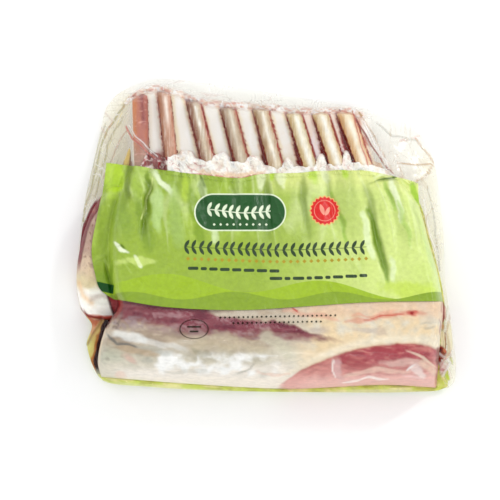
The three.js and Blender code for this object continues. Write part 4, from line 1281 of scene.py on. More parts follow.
def smear_fields(x, y):
    """Colour and cover of what is pressed between the sheets."""
    fine = clouds(x, y, 6, 101)
    streak = clouds(x, y / 5, 2.5, 102)
    among = ease(y, 38, 42) * ease(x, -85, -81) * ease(68 - x, 0, 6) * ease(tip_y(x) + 2.5 - y, -1, 2)
    colour = plain(x, "#FAF8F4")
    nearest = np.full(np.shape(x), 99.0)
    blood = np.zeros(np.shape(x))
    bright = np.zeros(np.shape(x))
    fringe = np.zeros(np.shape(x))
    for i, rib in enumerate(RIBS):
        off = x - rib_x(rib, y)
        along = clamp((tip_y(x) - y) / (tip_y(x) - root_y(x)))
        jag = 0.35 * noise(x / 1.3, y / 1.3, 103 + i)
        nearest = np.minimum(nearest, np.abs(off) - rib[2])
        wide = mix(0.5, BLOOD_AT_ROOT[i], ease(along, BLOOD_FROM[i], 1.0))
        left = ease(wide + jag - (-off - rib[2] + 0.3), -0.15, 0.35) * (off < 0) * (i > 0)
        right = ease(0.75 + jag - np.abs(off - rib[2]), -0.1, 0.3) * (i > 1)
        bright = np.maximum(bright, right)
        blood = np.maximum(blood, left)
        stain = ease(wide + 1.0 + 2 * jag - (-off - rib[2] + 0.3), -0.3, 0.8) * (off < 0) * (i > 0)
        fringe = np.maximum(fringe, stain)
    colour = tint(colour, "#F8ECCC", (0.9 - 0.6 * ease(-62 - x, 0, 3)) * ease(3.2 + fine - nearest, 0, 2.4))
    colour = tint(colour, "#F2DCC4", 0.6 * ease(x, 4, 24) * ease(fine, -0.4, 0.4))
    colour = tint(colour, "#FFFFFF", 0.6 * ease(streak, 0.1, 0.5) * ease(nearest, 2, 3))
    # Tan towards the foot of each gap: blood, and painted shade where the web rises to the meat.
    foot = ease(root_y(x) + 10 - y, 0, 8)
    colour = tint(colour, "#E6D2AC", 0.5 * foot * ease(x, -66, -50))
    wine = ease(x - gap_x(5, y), -4.5, -3) * ease(gap_x(6, y) + 4.5 - x, 0, 1.5)
    colour = tint(colour, "#FFEEE4", 0.85 * wine)
    washed = 0.8 * wine * ease(streak + 0.3 * fine, -0.1, 0.3) * ease(tip_y(x) - 8 - y, 0, 8)
    colour = tint(colour, "#FFF4FA", washed)
    colour = tint(colour, "#E0A08E", 0.6 * fringe)
    colour = tint(colour, "#A82020", 0.9 * bright)
    colour = tint(colour, "#780A18", 0.97 * blood)
    crimson = ease(x - rib_x(RIBS[-1], y) + RIB_RADII[-1] + 3.4, 0, 1)
    crimson = crimson * ease(rib_x(RIBS[-1], y) - RIB_RADII[-1] - 1.2 - x, 0, 1)
    colour = tint(colour, "#B41438", 0.8 * blood * crimson)
    red_foot = ease(x - gap_x(0, y), -1.5, 1.5) * ease(rib_x(RIBS[1], y) - 3 - x, 0, 1)
    red_foot = red_foot * ease(root_y(x) + 12 - y, 0, 8)
    colour = tint(colour, "#B8443A", 0.9 * red_foot)
    cover = 0.9 * among
    crevice = ease(left_end(y) + 2 - x, 0, 2) * ease(y, -90, -82) * ease(-46 - y, 0, 3)
    to_loin = left_end(y) - x
    web_colour = plain(x, "#F2EE96")
    web_colour = tint(web_colour, "#F4B890", ease(y + 66 + 5 * fine, 0, 8))
    web_colour = tint(web_colour, "#C8401E", 0.7 * ease(y + 58 + 4 * fine, 0, 3))
    web_colour = tint(web_colour, "#ECD880", 0.75 * ease(6.6 + 1.4 * fine - to_loin, -0.8, 1.6))
    web_colour = tint(web_colour, "#B8501E", 0.85 * ease(3.9 + 1.2 * fine - to_loin, -0.6, 0.8))
    # Near-black deep in the crevice: dark blood with painted shade.
    dark_blood_and_shade = ease(2.5 + 0.7 * fine + 1.2 * ease(y, -66, -54) - to_loin, -0.4, 0.5)
    web_colour = tint(web_colour, "#260304", 0.99 * dark_blood_and_shade)
    colour = mix(colour, web_colour, crevice[..., None])
    cover = np.maximum(cover, crevice * (0.8 + 0.2 * dark_blood_and_shade))
    behind = ease(left_end(y) + 1 - x, -1, 3) * ease(x - left_end(y) + 9, 0, 3)
    behind = behind * ease(y, -52, -47) * ease(-36 - y, 0, 4)
    colour = tint(colour, "#8A0E1C", behind)
    cover = np.maximum(cover, 0.95 * behind)
    outside = second_rack_end(y) - x
    maroon = ease(2.3 + 0.4 * fine - outside, 0, 0.7) * ease(outside, -2, -1)
    maroon = maroon * ease(y, -26, -18) * ease(25 - y, 0, 5)
    colour = tint(colour, "#7A1E2C", maroon)
    # Pink streaks on the band: painted highlights.
    colour = tint(colour, "#C9808A", 0.6 * maroon * ease(streak, 0.15, 0.5) * ease(y, 2, 10))
    cover = np.maximum(cover, 0.97 * maroon)
    side = np.exp(-((x - rib_x(RIBS[-1], y) - RIB_RADII[-1] - 1.2) / 1.2) ** 2)
    side = side * ease(y, 40, 46) * ease(80 - y, 0, 6)
    colour = tint(colour, "#C4564C", 0.8 * side * ease(streak, -0.1, 0.3))
    cover = np.maximum(cover, 0.7 * side)
    up = clamp((y - 40) / 15)
    lean = x + 87.2 - 2.2 * up
    left_foot = ease(3.3 * (1 - up ** 2) - np.abs(lean) + 0.6 * fine, 0, 0.8) * (y < 56) * (y > 36)
    colour = tint(colour, "#D8B43C", 0.9 * left_foot)
    colour = tint(colour, "#5E1E10", 0.92 * left_foot * ease(lean - 0.9 + 0.5 * fine, -0.3, 0.6))
    colour = tint(colour, "#7A5420", 0.8 * left_foot * ease(-lean - 1.9 + 0.4 * fine, -0.2, 0.6))
    cover = np.maximum(cover, 0.9 * left_foot)
    for path, width, hex_colour, share in EDGE_STROKES:
        laid = ease(line_share(x, y, path, width, 1.4, 0.5) + 0.15 * fine, 0.2, 0.55)
        colour = tint(colour, hex_colour, laid)
        cover = np.maximum(cover, share * laid)
    return colour, clamp(cover)


smear_x = bag_x[2:-2, 2:-2]
smear_y = bag_y[2:-2, 2:-2]
smear_z = web_z(smear_x, smear_y) - 0.45 * SKIN
smear_colour, smear_cover = smear_fields(smear_x, smear_y)
open_skirt = (rack_z(smear_x, smear_y) < smear_z + 3) & (smear_cover > 0.02)
keep = open_skirt[:-1, :-1] | open_skirt[1:, 1:] | open_skirt[:-1, 1:] | open_skirt[1:, :-1]
smear = sheet("juice_and_smear", smear_x, smear_y, smear_z, keep)
store_colour(smear, "paint", smear_colour)
store(smear, "cover", smear_cover)
smear_material, tree = new_material("juice_between_films")
paint = node(tree, "ShaderNodeVertexColor", {"layer_name": "paint"})
cover = node(tree, "ShaderNodeAttribute", {"attribute_name": "cover"})
juice = node(tree, "ShaderNodeBsdfDiffuse", {}, {"Color": paint.outputs[0]})
nothing = node(tree, "ShaderNodeBsdfTransparent")
both = node(tree, "ShaderNodeMixShader", {}, {0: cover.outputs["Fac"], 1: nothing.outputs[0],
                                             2: juice.outputs[0]})
node(tree, "ShaderNodeOutputMaterial", {}, {"Surface": both.outputs[0]})
smear.data.materials.append(smear_material)

# %% [markdown]
# ## Print on the band
# The band is film printed on its inside, glossy and crisp: a lime ground with darker waves along the
# foot, a dark green panel with a sprig, a red seal, and rows of small marks. A picture would break into
# squares up close. Here each shape is stored as a distance to its edge in millimetres, and the material
# turns the distance into ink, so an edge stays sharp.

# %% Shapes of the print
def box_edge(x, y, at, half, turn=0.0, round_by=0.0):
    """Distance to a rectangle's edge, below 0 inside."""
    c, s = math.cos(turn), math.sin(turn)
    u = np.abs(c * (x - at[0]) + s * (y - at[1])) - half[0] + round_by
    v = np.abs(c * (y - at[1]) - s * (x - at[0])) - half[1] + round_by
    outside = np.hypot(np.maximum(u, 0), np.maximum(v, 0))
    return outside + np.minimum(np.maximum(u, v), 0) - round_by


def leaf_edge(x, y, at, length, width, turn):
    """Distance to a pointed leaf, two arcs that meet at its tips."""
    c, s = math.cos(turn), math.sin(turn)
    u = np.abs(c * (x - at[0]) + s * (y - at[1]))
    v = np.abs(c * (y - at[1]) - s * (x - at[0]))
    radius = (length * length + width * width) / (4 * width)
    return np.hypot(u, v + radius - width / 2) - radius


def garland(x, y, line, start, end, pitch, leaf, seed, stem=0.22):
    """Pairs of leaves on a thin stem: distance to the nearest."""
    edge = np.where((x > start) & (x < end), np.abs(y - line(x)) - stem, 9.0)
    random = np.random.default_rng(seed)
    at = start
    while at < end:
        for side in (-1, 1):
            turn = side * (0.95 + 0.15 * random.random())
            middle = (at + 0.4 * leaf * math.cos(turn), float(line(at)) + 0.42 * leaf * math.sin(turn))
            edge = np.minimum(edge, leaf_edge(x, y, middle, leaf, leaf * 0.36, turn))
        at += pitch * (0.9 + 0.2 * random.random())
    return edge


def dashes(x, y, line, start, end, half, seed, shortest, longest, gap):
    """A row of short rules of uneven length."""
    random = np.random.default_rng(seed)
    edge = np.full(np.shape(x), 9.0)
    at = start
    while at < end:
        length = min(shortest + (longest - shortest) * random.random(), end - at)
        middle = (at + length / 2, float(line(at + length / 2)))
        edge = np.minimum(edge, box_edge(x, y, middle, (length / 2, half), 0.0, half * 0.8))
        at += length + gap
    return edge


def diamonds(x, y, line, start, end, pitch, size):
    """A row of small diamonds."""
    nearest = start + np.round((clamp(x, start, end) - start) / pitch) * pitch
    return (np.abs(x - nearest) + np.abs(y - line(nearest)) - size) * 0.7


PANEL_AT = (-16.0, 13.0)
PANEL_HALF = (28.0, 11.4)
SEAL_AT = (36.0, 14.0)
SEAL_RADIUS = 8.4
ROW_BOW = curve([(-50, -9.5), (-20, -10.6), (10, -11.4), (40, -10.6), (66, -9.2)])


def row_at(drop):
    """A gently bowed line, so far below the first row."""
    return lambda x: ROW_BOW(x) - drop


def print_inks(x, y):
    """Each ink's distance field, from the bottom layer up."""
    waves = y + 31.5 + 0.045 * (x + 20) - 4.6 * np.cos((x + 60) / 15)
    front_waves = y + 38.5 - 2.4 * np.cos((x + 20) / 10)
    panel = box_edge(x, y, PANEL_AT, PANEL_HALF, 0.0, 11.3)
    angle = np.arctan2(y - SEAL_AT[1], x - SEAL_AT[0])
    away = np.hypot(x - SEAL_AT[0], y - SEAL_AT[1])
    seal = away - SEAL_RADIUS - 0.4 * np.cos(20 * angle)
    seal_leaves = np.minimum(leaf_edge(x, y, (SEAL_AT[0] - 1.6, SEAL_AT[1] + 0.6), 7.5, 2.6, 1.9),
                             leaf_edge(x, y, (SEAL_AT[0] + 1.8, SEAL_AT[1] - 0.4), 6.5, 2.3, 1.1))
    sprig = garland(x, y, lambda t: PANEL_AT[1] + 0.8 + 1.2 * np.sin((t - 2) / 9), -36, 3, 4.6, 5.6, 5, 0.3)
    pale_dots = diamonds(x, y, lambda t: PANEL_AT[1] - 7.6 + 0 * t, -32, 0, 4.0, 0.9)
    spray = garland(x, y, row_at(-1.0), -50, 62, 4.6, 5.8, 6)
    ochre = diamonds(x, y, row_at(6.2), -48, 60, 4.2, 1.3)
    rows = dashes(x, y, row_at(12.0), -48, 8, 1.0, 9, 2.5, 7.0, 1.4)
    rows = np.minimum(rows, dashes(x, y, row_at(16.6), 2, 62, 1.0, 10, 2.5, 8.0, 1.4))
    return {
        "wave_ink": waves,
        "front_wave_ink": front_waves,
        "panel_ink": np.minimum(panel, box_edge(x, y, (-99.6, -33.2), (5.6, 2.7), -0.22)),
        "pale_ink": np.minimum(np.abs(panel + 0.1) - 0.42, np.minimum(sprig, pale_dots)),
        "green_ink": np.minimum(rows, spray),
        "ochre_ink": ochre,
        "seal_rim_ink": seal - 0.8,
        "seal_ink": seal,
        "seal_ring_ink": np.minimum(np.abs(away - 6.4) - 0.22, seal_leaves),
    }

# %% [markdown]
# The ink lies on the film's outside here, a tenth of a millimetre proud, so that it takes each crease
# of the film under it. The lime is painted darker in the grooves between the ribs and paler on the
# crests: painted shade and painted highlight.

# %% Printed band
PRINT_PROUD = 0.12
print_columns = spread(print_left, print_right, 440, True)
print_rows = spread(print_far, print_near, 190, True)
band_x, band_y = net(print_columns, print_rows)
band_z = film_z(band_x, band_y) + PRINT_PROUD
band = sheet("printed_band", band_x, band_y, band_z)
for name, edge in print_inks(band_x, band_y).items():
    store(band, name, edge)


# The label's soft lights and darks, which its folds give it: path, half width, colour and share.
BAND_STROKES = [
    ([(-94, 46), (-95, 26)], 6.0, "#BCE02E", 0.85),
    ([(-89, 18), (-88, 2)], 7.0, "#87A63A", 0.6),
    ([(-85.3, 45), (-85.3, 20)], 2.2, "#7C9404", 0.9),
    ([(-80, 40), (-79, 14)], 3.0, "#A3C24A", 0.5),
    ([(-73.5, 37), (-72, 27.6), (-74.4, 12), (-75, 0)], 1.2, "#76921A", 0.9),
    ([(-78, 20), (-75, 8), (-72, -9)], 4.6, "#7B9A22", 0.75),
    ([(-70.5, 34), (-73.5, 18), (-76, 8)], 0.7, "#E2F09A", 0.8),
    ([(-69.4, 39), (-64.5, 31), (-58, 24.5)], 2.5, "#E8F4CE", 0.9),
    ([(-67.5, 27), (-66.5, 2)], 3.2, "#BAD888", 0.7),
    ([(-57, 30), (-56, 8), (-53, -6)], 4.5, "#A6C46A", 0.6),
    ([(-51, 36), (-49, 20)], 2.6, "#B9D63C", 0.6),
    ([(-47, 28), (-44, 16), (-41, 4), (-38.5, -8)], 3.2, "#7E9E22", 0.8),
    ([(-42, 37), (-37.5, 27.6)], 0.7, "#5E7A14", 0.85),
    ([(-41, 33), (-35, 14), (-31, -5)], 2.4, "#DCEEB8", 0.75),
    ([(-29.5, 35), (-24.2, 22.3), (-21.2, 10.2)], 2.0, "#98B62E", 0.8),
    ([(-94, -5), (-90, -9), (-85, -12)], 1.3, "#F2FADC", 0.9),
    ([(-80.6, -15), (-76, -20)], 1.2, "#F2FADC", 0.85),
    ([(-90, -6.5), (-87, -9)], 0.8, "#6E8A18", 0.85),
    ([(-95, -16), (-94.9, -31)], 0.9, "#7A9A22", 0.85),
    ([(-92, -17.5), (-68, -17.5)], 2.2, "#E0F28E", 0.5),
    ([(-4, 40), (-3, 28)], 2.8, "#F0F8CC", 0.65),
    ([(9, 40), (10, 29)], 2.8, "#F0F8CC", 0.65),
    ([(3.5, 40), (4, 34)], 2.0, "#AED41E", 0.75),
    ([(28, 41), (30, 33)], 3.2, "#B4DA2C", 0.7),
    ([(36, 42), (38, 33)], 2.0, "#F0F8CC", 0.6),
    ([(48, 41), (49, 34)], 2.4, "#B4DA2C", 0.7),
    ([(41, 26.4), (45.6, 11.5), (49.6, -5.3)], 1.6, "#9EC248", 0.8),
    ([(59, 13), (62, -2), (66, -16)], 2.2, "#E8F6C8", 0.65),
    ([(63, 15), (67, 1), (70.7, -14.6), (74.8, -31)], 2.2, "#80A81E", 0.9),
    ([(77, -16), (78, -30)], 2.2, "#E8F6C8", 0.6),
    ([(73, 32), (76, 25), (79, 15)], 1.5, "#A2C650", 0.7),
    ([(77, 33), (81, 22), (84, 8)], 2.0, "#EEF8D4", 0.7),
    ([(81, 21), (86, 5), (89, -8)], 1.6, "#A8CA5C", 0.65),
    ([(92, 32), (94, 21)], 2.4, "#9CCA0C", 0.85),
    ([(96, 8), (103, -20), (108, -36)], 1.4, "#BCD87C", 0.6),
    ([(72, -33), (88, -35), (106, -37)], 6.0, "#C2DC4E", 0.8),
    ([(66.6, 32.6), (74.6, 34.6), (81.6, 36.6)], 0.7, "#4E6A10", 0.95),
    ([(66, 34.6), (73, 36.8)], 0.9, "#EAF6B8", 0.8),
]


def band_paint(x, y):
    """The lime ground, deeper over the first ribs, with painted shade in the grooves and between the
    pleats, and a painted highlight on the pleats' crests.
    """
    wide = clouds(x, y, 30, 111)
    fine = clouds(x, y / 2.5, 6, 112)
    specks = clouds(x, y, 2.2, 113, 2)
    pale = clamp(0.95 * ease(x, -14, 80) + 0.03 * np.exp(-((x - 8) / 48) ** 2 - ((y + 20) / 14) ** 2))
    colour = plain(x, "#98B438")
    colour = tint(colour, "#D6E88A", pale)
    colour = tint(colour, "#ECF29A", 0.65 * ease(y - print_far(x), -16, -4) * ease(x, -12, 10))
    colour = tint(colour, "#ACC84C", 0.5 * ease(wide + 0.5 * fine, 0.0, 0.7) * (1 - 0.6 * pale))
    colour = tint(colour, "#8AA634", 0.4 * ease(-fine - 0.4 * wide, 0.1, 0.7) * (1 - 0.7 * pale))
    # Paler on the pleats' crests and darker between them: painted highlight and painted shade.
    colour = tint(colour, "#E6F2B8", 0.3 * ease(pleats(x, y), 0.45, 0.95))
    colour = tint(colour, "#7C962C", 0.3 * ease(0.12 - pleats(x, y), 0, 0.12) * ease(y, -20, 15))
    upright = clouds(x + 0.12 * y, y / 6, 3.0, 114)
    drawn = ease(y, -8, 10) * ease(30 - x, 0, 50)
    colour = tint(colour, "#C6DE7C", 0.45 * drawn * ease(upright + 0.3 * specks, 0.1, 0.6))
    colour = tint(colour, "#7C982A", 0.45 * drawn * ease(-upright + 0.3 * specks, 0.1, 0.6))
    colour = stroke_on(colour, x, y, BAND_STROKES, 0.7 * fine + 0.7 * specks)
    # Darker in the grooves: painted shade.
    colour = tint(colour, "#66801E", 0.6 * ease(grooves(x, y) + 0.3 * fine, 0.3, 1.9))
    left_edge = 0.45 * ease(-93 - x, 0, 4) * ease(y + 22, 0, 10) * ease(fine, -0.5, 0.3)
    colour = tint(colour, "#BAD45E", left_edge)
    return tint(colour, "#84A82E", 0.6 * ease(-94 - x, 0, 3) * ease(-22 - y, 0, 3))


store_colour(band, "paint", band_paint(band_x, band_y))
INK_COLOURS = [
    ("wave_ink", "#9CBC20"),
    ("front_wave_ink", "#86A424"),
    ("ochre_ink", "#AE951E"),
    ("green_ink", "#243E1C"),
    ("panel_ink", "#0B5013"),
    ("pale_ink", "#E4F0D2"),
    ("seal_rim_ink", "#E8B468"),
    ("seal_ink", "#D80F0C"),
    ("seal_ring_ink", "#F09A84"),
]
INK_EDGE_MM = 0.16
INK_MOTTLE_MM = 2.6


def ink_share(tree, ink, most=1.0):
    """How much of an ink lies at a point, from the stored distance: most inside its edge, 0 outside."""
    edge = node(tree, "ShaderNodeAttribute", {"attribute_name": ink})
    share = node(tree, "ShaderNodeMapRange", {}, {
        "Value": edge.outputs["Fac"], "From Min": -INK_EDGE_MM, "From Max": INK_EDGE_MM,
        "To Min": most, "To Max": 0.0})
    return share.outputs[0]


def ink_material(name, inks):
    """Glossy film over layers of flat ink, each laid where its distance is below 0."""
    material, tree = new_material(name)
    colour = node(tree, "ShaderNodeVertexColor", {"layer_name": "paint"}).outputs[0]
    for ink, hex_colour in inks:
        colour = node(tree, "ShaderNodeMix", {"data_type": "RGBA"},
                      {0: ink_share(tree, ink), 6: colour, 7: rgba(hex_colour)}).outputs[2]
    mm = place(tree)
    mottle = node(tree, "ShaderNodeTexNoise", {}, {"Vector": mm, "Scale": 1 / INK_MOTTLE_MM, "Detail": 4.0})
    lift = node(tree, "ShaderNodeMapRange", {}, {
        "Value": mottle.outputs[0], "From Min": 0.3, "From Max": 0.7, "To Min": 0.93, "To Max": 1.07})
    mottled = node(tree, "ShaderNodeVectorMath", {"operation": "SCALE"},
                   {0: colour, "Scale": lift.outputs[0]})
    crinkle = node(tree, "ShaderNodeTexNoise", {}, {
        "Vector": mm, "Scale": 1 / FILM_CRINKLE_MM, "Detail": 5.0, "Roughness": 0.6, "Distortion": 1.2})
    bump = node(tree, "ShaderNodeBump", {}, {
        "Strength": 0.8, "Distance": 0.0009, "Height": crinkle.outputs[0]})
    skin = node(tree, "ShaderNodeBsdfPrincipled", {}, {
        "Base Color": mottled.outputs[0], "Roughness": 0.3, "IOR": FILM_IOR, "Normal": bump.outputs[0]})
    node(tree, "ShaderNodeOutputMaterial", {}, {"Surface": skin.outputs[0]})
    return material


band.data.materials.append(ink_material("printed_lime_film", INK_COLOURS))

# %% [markdown]
# ## Print on the back
# The lower sheet is plain lime on its outside. From above it shows as a green edge along the front of
# the loin and in the lower corners.

# %% Back print
back_far = lambda x: 30 + 0 * x
back_near = lambda x: near_rim(x) + 0.3
back_left = lambda y: np.maximum(left_rim(y) + 0.5, np.where(y > -50, left_end(y) + 2, -999))
back_right = lambda y: right_end(y) + 1.5 + 5.5 * ease(-78 - y, 0, 6)
back_x, back_y = net(spread(back_left, back_right, 150, True), spread(back_far, back_near, 110, True))
back_seam = ease(inside_rim(back_x, back_y), 0.0, 3.0)
back_rim_z = rim_z(back_x, back_y) - SKIN / 2 - 0.3
back_print_z = mix(back_rim_z, np.maximum(under_z(back_x, back_y), 0), back_seam)
back_print = sheet("printed_back", back_x, back_y, back_print_z + 0.25)
back_streak = clouds(back_x / 5, back_y, 1.6, 141)
back_colour = plain(back_x, "#D3E264")
back_colour = tint(back_colour, "#F0EEA4", ease(back_streak, 0.0, 0.4))
back_colour = tint(back_colour, "#A8A440", 0.6 * ease(-back_streak, 0.2, 0.5))
back_colour = tint(back_colour, "#EFF3C4", 0.7 * ease(loin_foot(back_x) - 2.2 - back_y, 0, 1))
store_colour(back_print, "paint", back_colour)
back_print.data.materials.append(ink_material("printed_lime_back", []))

# %% [markdown]
# ## Marks on the clear film
# A pack has a few small dark marks outside its band, printed on the film itself. Here they are two rows
# of dots and a ring. Their sheet keeps only the quads with ink, so no clear layer hangs over the meat.

# %% Marks on the clear film
MARK_INK = "#1E2618"
MARK_COVER = 0.9
RING_AT = (-44.0, -59.0)
RING_HALF = (8.6, 5.8)
mark_x, mark_y = np.meshgrid(np.linspace(-56, 50, 320), np.linspace(-49.5, -66.5, 70))
mark_z = film_z(mark_x, mark_y) + PRINT_PROUD
dot_rows = np.minimum(diamonds(mark_x, mark_y, lambda t: -51.4 + 0.02 * t, -28, 42, 2.8, 0.75),
                      diamonds(mark_x, mark_y, lambda t: -55.0 + 0.02 * t, -20, 34, 2.8, 0.75))
across_ring = np.hypot((mark_x - RING_AT[0]) / RING_HALF[0], (mark_y - RING_AT[1]) / RING_HALF[1])
ring = np.abs(across_ring - 1) * 6.5 - 0.22
bars = np.minimum(box_edge(mark_x, mark_y, (RING_AT[0], -57.6), (4.2, 0.45)),
                  box_edge(mark_x, mark_y, (RING_AT[0], -60.4), (2.6, 0.45)))
mark_edge = np.minimum(dot_rows, np.minimum(ring, bars))
keep = (mark_edge < 0.9)[:-1, :-1]
marks = sheet("printed_marks", mark_x, mark_y, mark_z, keep)
store(marks, "mark", mark_edge)
mark_material, tree = new_material("dark_ink_on_clear_film")
share = ink_share(tree, "mark", MARK_COVER)
ink = node(tree, "ShaderNodeBsdfDiffuse", {}, {"Color": rgba(MARK_INK)})
bare = node(tree, "ShaderNodeBsdfTransparent")
marked = node(tree, "ShaderNodeMixShader", {}, {0: share, 1: bare.outputs[0], 2: ink.outputs[0]})
node(tree, "ShaderNodeOutputMaterial", {}, {"Surface": marked.outputs[0]})
marks.data.materials.append(mark_material)

# %% [markdown]
# ## Scraped fat
# The knife pushes soft white and pink fat down to the foot of each gap, and leaves crumbs of red tissue
# along the ribs. The fat is a sheet that follows the swells worked out above, painted by rule. The crumbs
# are too many to place by hand: Geometry Nodes scatter them over a narrow patch along each rib's edge, as
# ico spheres pushed out of round by noise.

# %% Humps, and patches that the crumbs grow on
scrap_x, scrap_y = np.meshgrid(np.linspace(-80, 78, 330), np.linspace(58, 33, 80))
scrap_cover = scrap_share(scrap_x, scrap_y)
scrap_sunk = 1.2 * (1 - ease(scrap_cover, 0.05, 0.4))
mass_z = food_z(scrap_x, scrap_y) + scrap_z(scrap_x, scrap_y) - 0.12 - scrap_sunk
keep = (scrap_cover > 0.03)[:-1, :-1]
fat_mass = sheet("fat_humps", scrap_x, scrap_y, mass_z, keep)


def scrap_paint(x, y):
    """White and pink, with red veins that are strongest where a hump is red."""
    red = np.full(np.shape(x), 0.1)
    for left, right, _, share in SCRAPS:
        red = np.where((x > left - 1) & (x < right + 1), share, red)
    veins = ease(creases(x, y, 2.6, 131, 0.9), 0.55, 0.9)
    tone = clouds(x, y, 4.0, 121)
    flecks = noise(x / 1.7, y / 2.2, 124)
    colour = plain(x, "#FFFDF8") * 1.05
    colour = tint(colour, "#F2E2D2", 0.5 * ease(-tone, 0.0, 0.5))
    colour = tint(colour, "#F4C8C2", clamp(0.2 + red) * ease(tone + 0.5 * veins, 0.2, 0.8))
    colour = tint(colour, "#A82C38", clamp(0.12 + 0.9 * red) * veins * ease(tone, -0.1, 0.3))
    colour = tint(colour, "#FFFFFF", 0.85 * ease(flecks, 0.1, 0.5))
    colour = tint(colour, "#B4404A", clamp(0.1 + red) * ease(-flecks - 0.3 * tone, 0.5, 0.7))
    # Pink-tan round each hump's rim: painted shade on its slopes.
    edge = 1 - ease(scrap_share(x, y), 0.1, 0.6)
    colour = tint(colour, "#D08A80", 0.4 * edge * ease(tone, -0.3, 0.3))
    above = y - print_far(x)
    low = ease(4.2 + 1.6 * noise(x / 3, y / 3, 123) - above, 0, 2.5) * ease(2 - x, 0, 6) * ease(x, -44, -40)
    colour = tint(colour, "#F2CCA6", 0.75 * low * ease(tone, -0.7, 0.0))
    pink = ease(0.7 + 0.7 * flecks - above, 0, 0.8) * ease(x, -50, -44) * ease(2 - x, 0, 6)
    colour = tint(colour, "#D2645C", 0.7 * pink)
    deep = ease(red, 0.6, 0.8) * ease(-tone - 0.6 * veins, -0.5, 0.1)
    return tint(colour, "#841C22", 0.9 * deep)


store_colour(fat_mass, "paint", scrap_paint(scrap_x, scrap_y))
fat_mass.data.materials.append(scrap_material)

patch_points = []
patch_faces = []
PATCH_ACROSS = 5
PATCH_ALONG = 40
for i, rib in enumerate(RIBS):
    for side in (1,) if i == 0 else (-1, 1):
        row_y = np.linspace(root_y(rib[1][0]) - 3.0, rib[0][1] - 3, PATCH_ALONG)[:, None]
        share = np.linspace(0, 1, PATCH_ACROSS)[None, :]
        px = rib_x(rib, row_y) + side * (rib[2] * 0.95 + 0.6 * share)
        px = px if side > 0 else px[:, ::-1]
        py = row_y + 0 * share
        pz = food_z(px, py) - 0.9
        start = len(patch_points)
        patch_points += np.stack([px, py, pz], axis=-1).reshape(-1, 3).tolist()
        count = PATCH_ACROSS * PATCH_ALONG
        faces = grid_faces(start + np.arange(count).reshape(PATCH_ALONG, PATCH_ACROSS))
        patch_faces += [face[::-1] for face in faces]
scraps = make_mesh("scraped_crumbs", patch_points, patch_faces)


def scrap_tree():
    """Scatters torn crumbs on the faces of what it is given."""
    tree = bpy.data.node_groups.new("scraps_of_fat", "GeometryNodeTree")
    face = tree.interface
    face.new_socket("Geometry", in_out="INPUT", socket_type="NodeSocketGeometry")
    dials = [("Crumbs per square metre", 0.35e6), ("Smallest crumb", 0.00018), ("Largest crumb", 0.00045)]
    for name, value in dials:
        face.new_socket(name, in_out="INPUT", socket_type="NodeSocketFloat").default_value = value
    face.new_socket("Geometry", in_out="OUTPUT", socket_type="NodeSocketGeometry")
    given = node(tree, "NodeGroupInput")
    points = node(tree, "GeometryNodeDistributePointsOnFaces", {}, {
        "Mesh": given.outputs[0], "Density": given.outputs[1], "Seed": 4})
    crumb = node(tree, "GeometryNodeMeshIcoSphere", {}, {"Radius": 1.0, "Subdivisions": 1})
    size = node(tree, "FunctionNodeRandomValue", {"data_type": "FLOAT"}, {
        2: given.outputs[2], 3: given.outputs[3], "Seed": 5})
    turn = node(tree, "FunctionNodeRandomValue", {"data_type": "FLOAT_VECTOR"}, {
        0: (0, 0, 0), 1: (6.28, 6.28, 6.28), "Seed": 6})
    sizes = node(tree, "ShaderNodeCombineXYZ", {}, {axis: size.outputs[1] for axis in range(3)})
    placed = node(tree, "GeometryNodeInstanceOnPoints", {}, {
        "Points": points.outputs[0], "Instance": crumb.outputs[0], "Rotation": turn.outputs[0],
        "Scale": sizes.outputs[0]})
    real = node(tree, "GeometryNodeRealizeInstances", {}, {0: placed.outputs[0]})
    where = node(tree, "GeometryNodeInputPosition")
    ragged = node(tree, "ShaderNodeTexNoise", {"noise_dimensions": "3D"}, {
        "Vector": where.outputs[0], "Scale": 1400.0, "Detail": 1.0})
    centred = node(tree, "ShaderNodeVectorMath", {"operation": "SUBTRACT"}, {
        0: ragged.outputs["Color"], 1: (0.5, 0.5, 0.5)})
    push = node(tree, "ShaderNodeVectorMath", {"operation": "SCALE"},
                {0: centred.outputs[0], "Scale": 0.0012})
    torn = node(tree, "GeometryNodeSetPosition", {},
                {"Geometry": real.outputs[0], "Offset": push.outputs[0]})
    skin = node(tree, "GeometryNodeSetMaterial", {},
                {"Geometry": torn.outputs[0], "Material": scrap_material})
    node(tree, "NodeGroupOutput", {}, {0: skin.outputs[0]})
    return tree


grower = scraps.modifiers.new("scraps", "NODES")
grower.node_group = scrap_tree()
seen = scraps.evaluated_get(bpy.context.evaluated_depsgraph_get())
grown = bpy.data.meshes.new_from_object(seen)
scraps.modifiers.remove(grower)
scraps.data = grown
scraps.data.polygons.foreach_set("use_smooth", [True] * len(scraps.data.polygons))
corners = np.zeros(len(grown.vertices) * 3)
grown.vertices.foreach_get("co", corners)
corners = corners.reshape(-1, 3) * 1000 - [shift[0], shift[1], 0]
crumb_tone = clouds(corners[:, 0], corners[:, 1], 2.0, 122)
crumb_colour = plain(corners[:, 0], "#8A1A1C")
crumb_colour = tint(crumb_colour, "#C05244", ease(crumb_tone, 0.1, 0.4))
crumb_colour = tint(crumb_colour, "#F0C4A8", ease(crumb_tone, 0.4, 0.6))
store_colour(scraps, "paint", crumb_colour)
print("crumbs", len(grown.polygons), "faces")

# %% [markdown]
# ## Floor, light and camera
# The photo is a plain pack shot: white ground, a soft even light with a few hard gloss streaks, and a
# long lens looking almost straight down. The surroundings are bright at the sides and darker overhead,
# so the film's flat top mirrors the dark part and the meat keeps its colour. The paper glows faintly,
# which lifts its shadows.

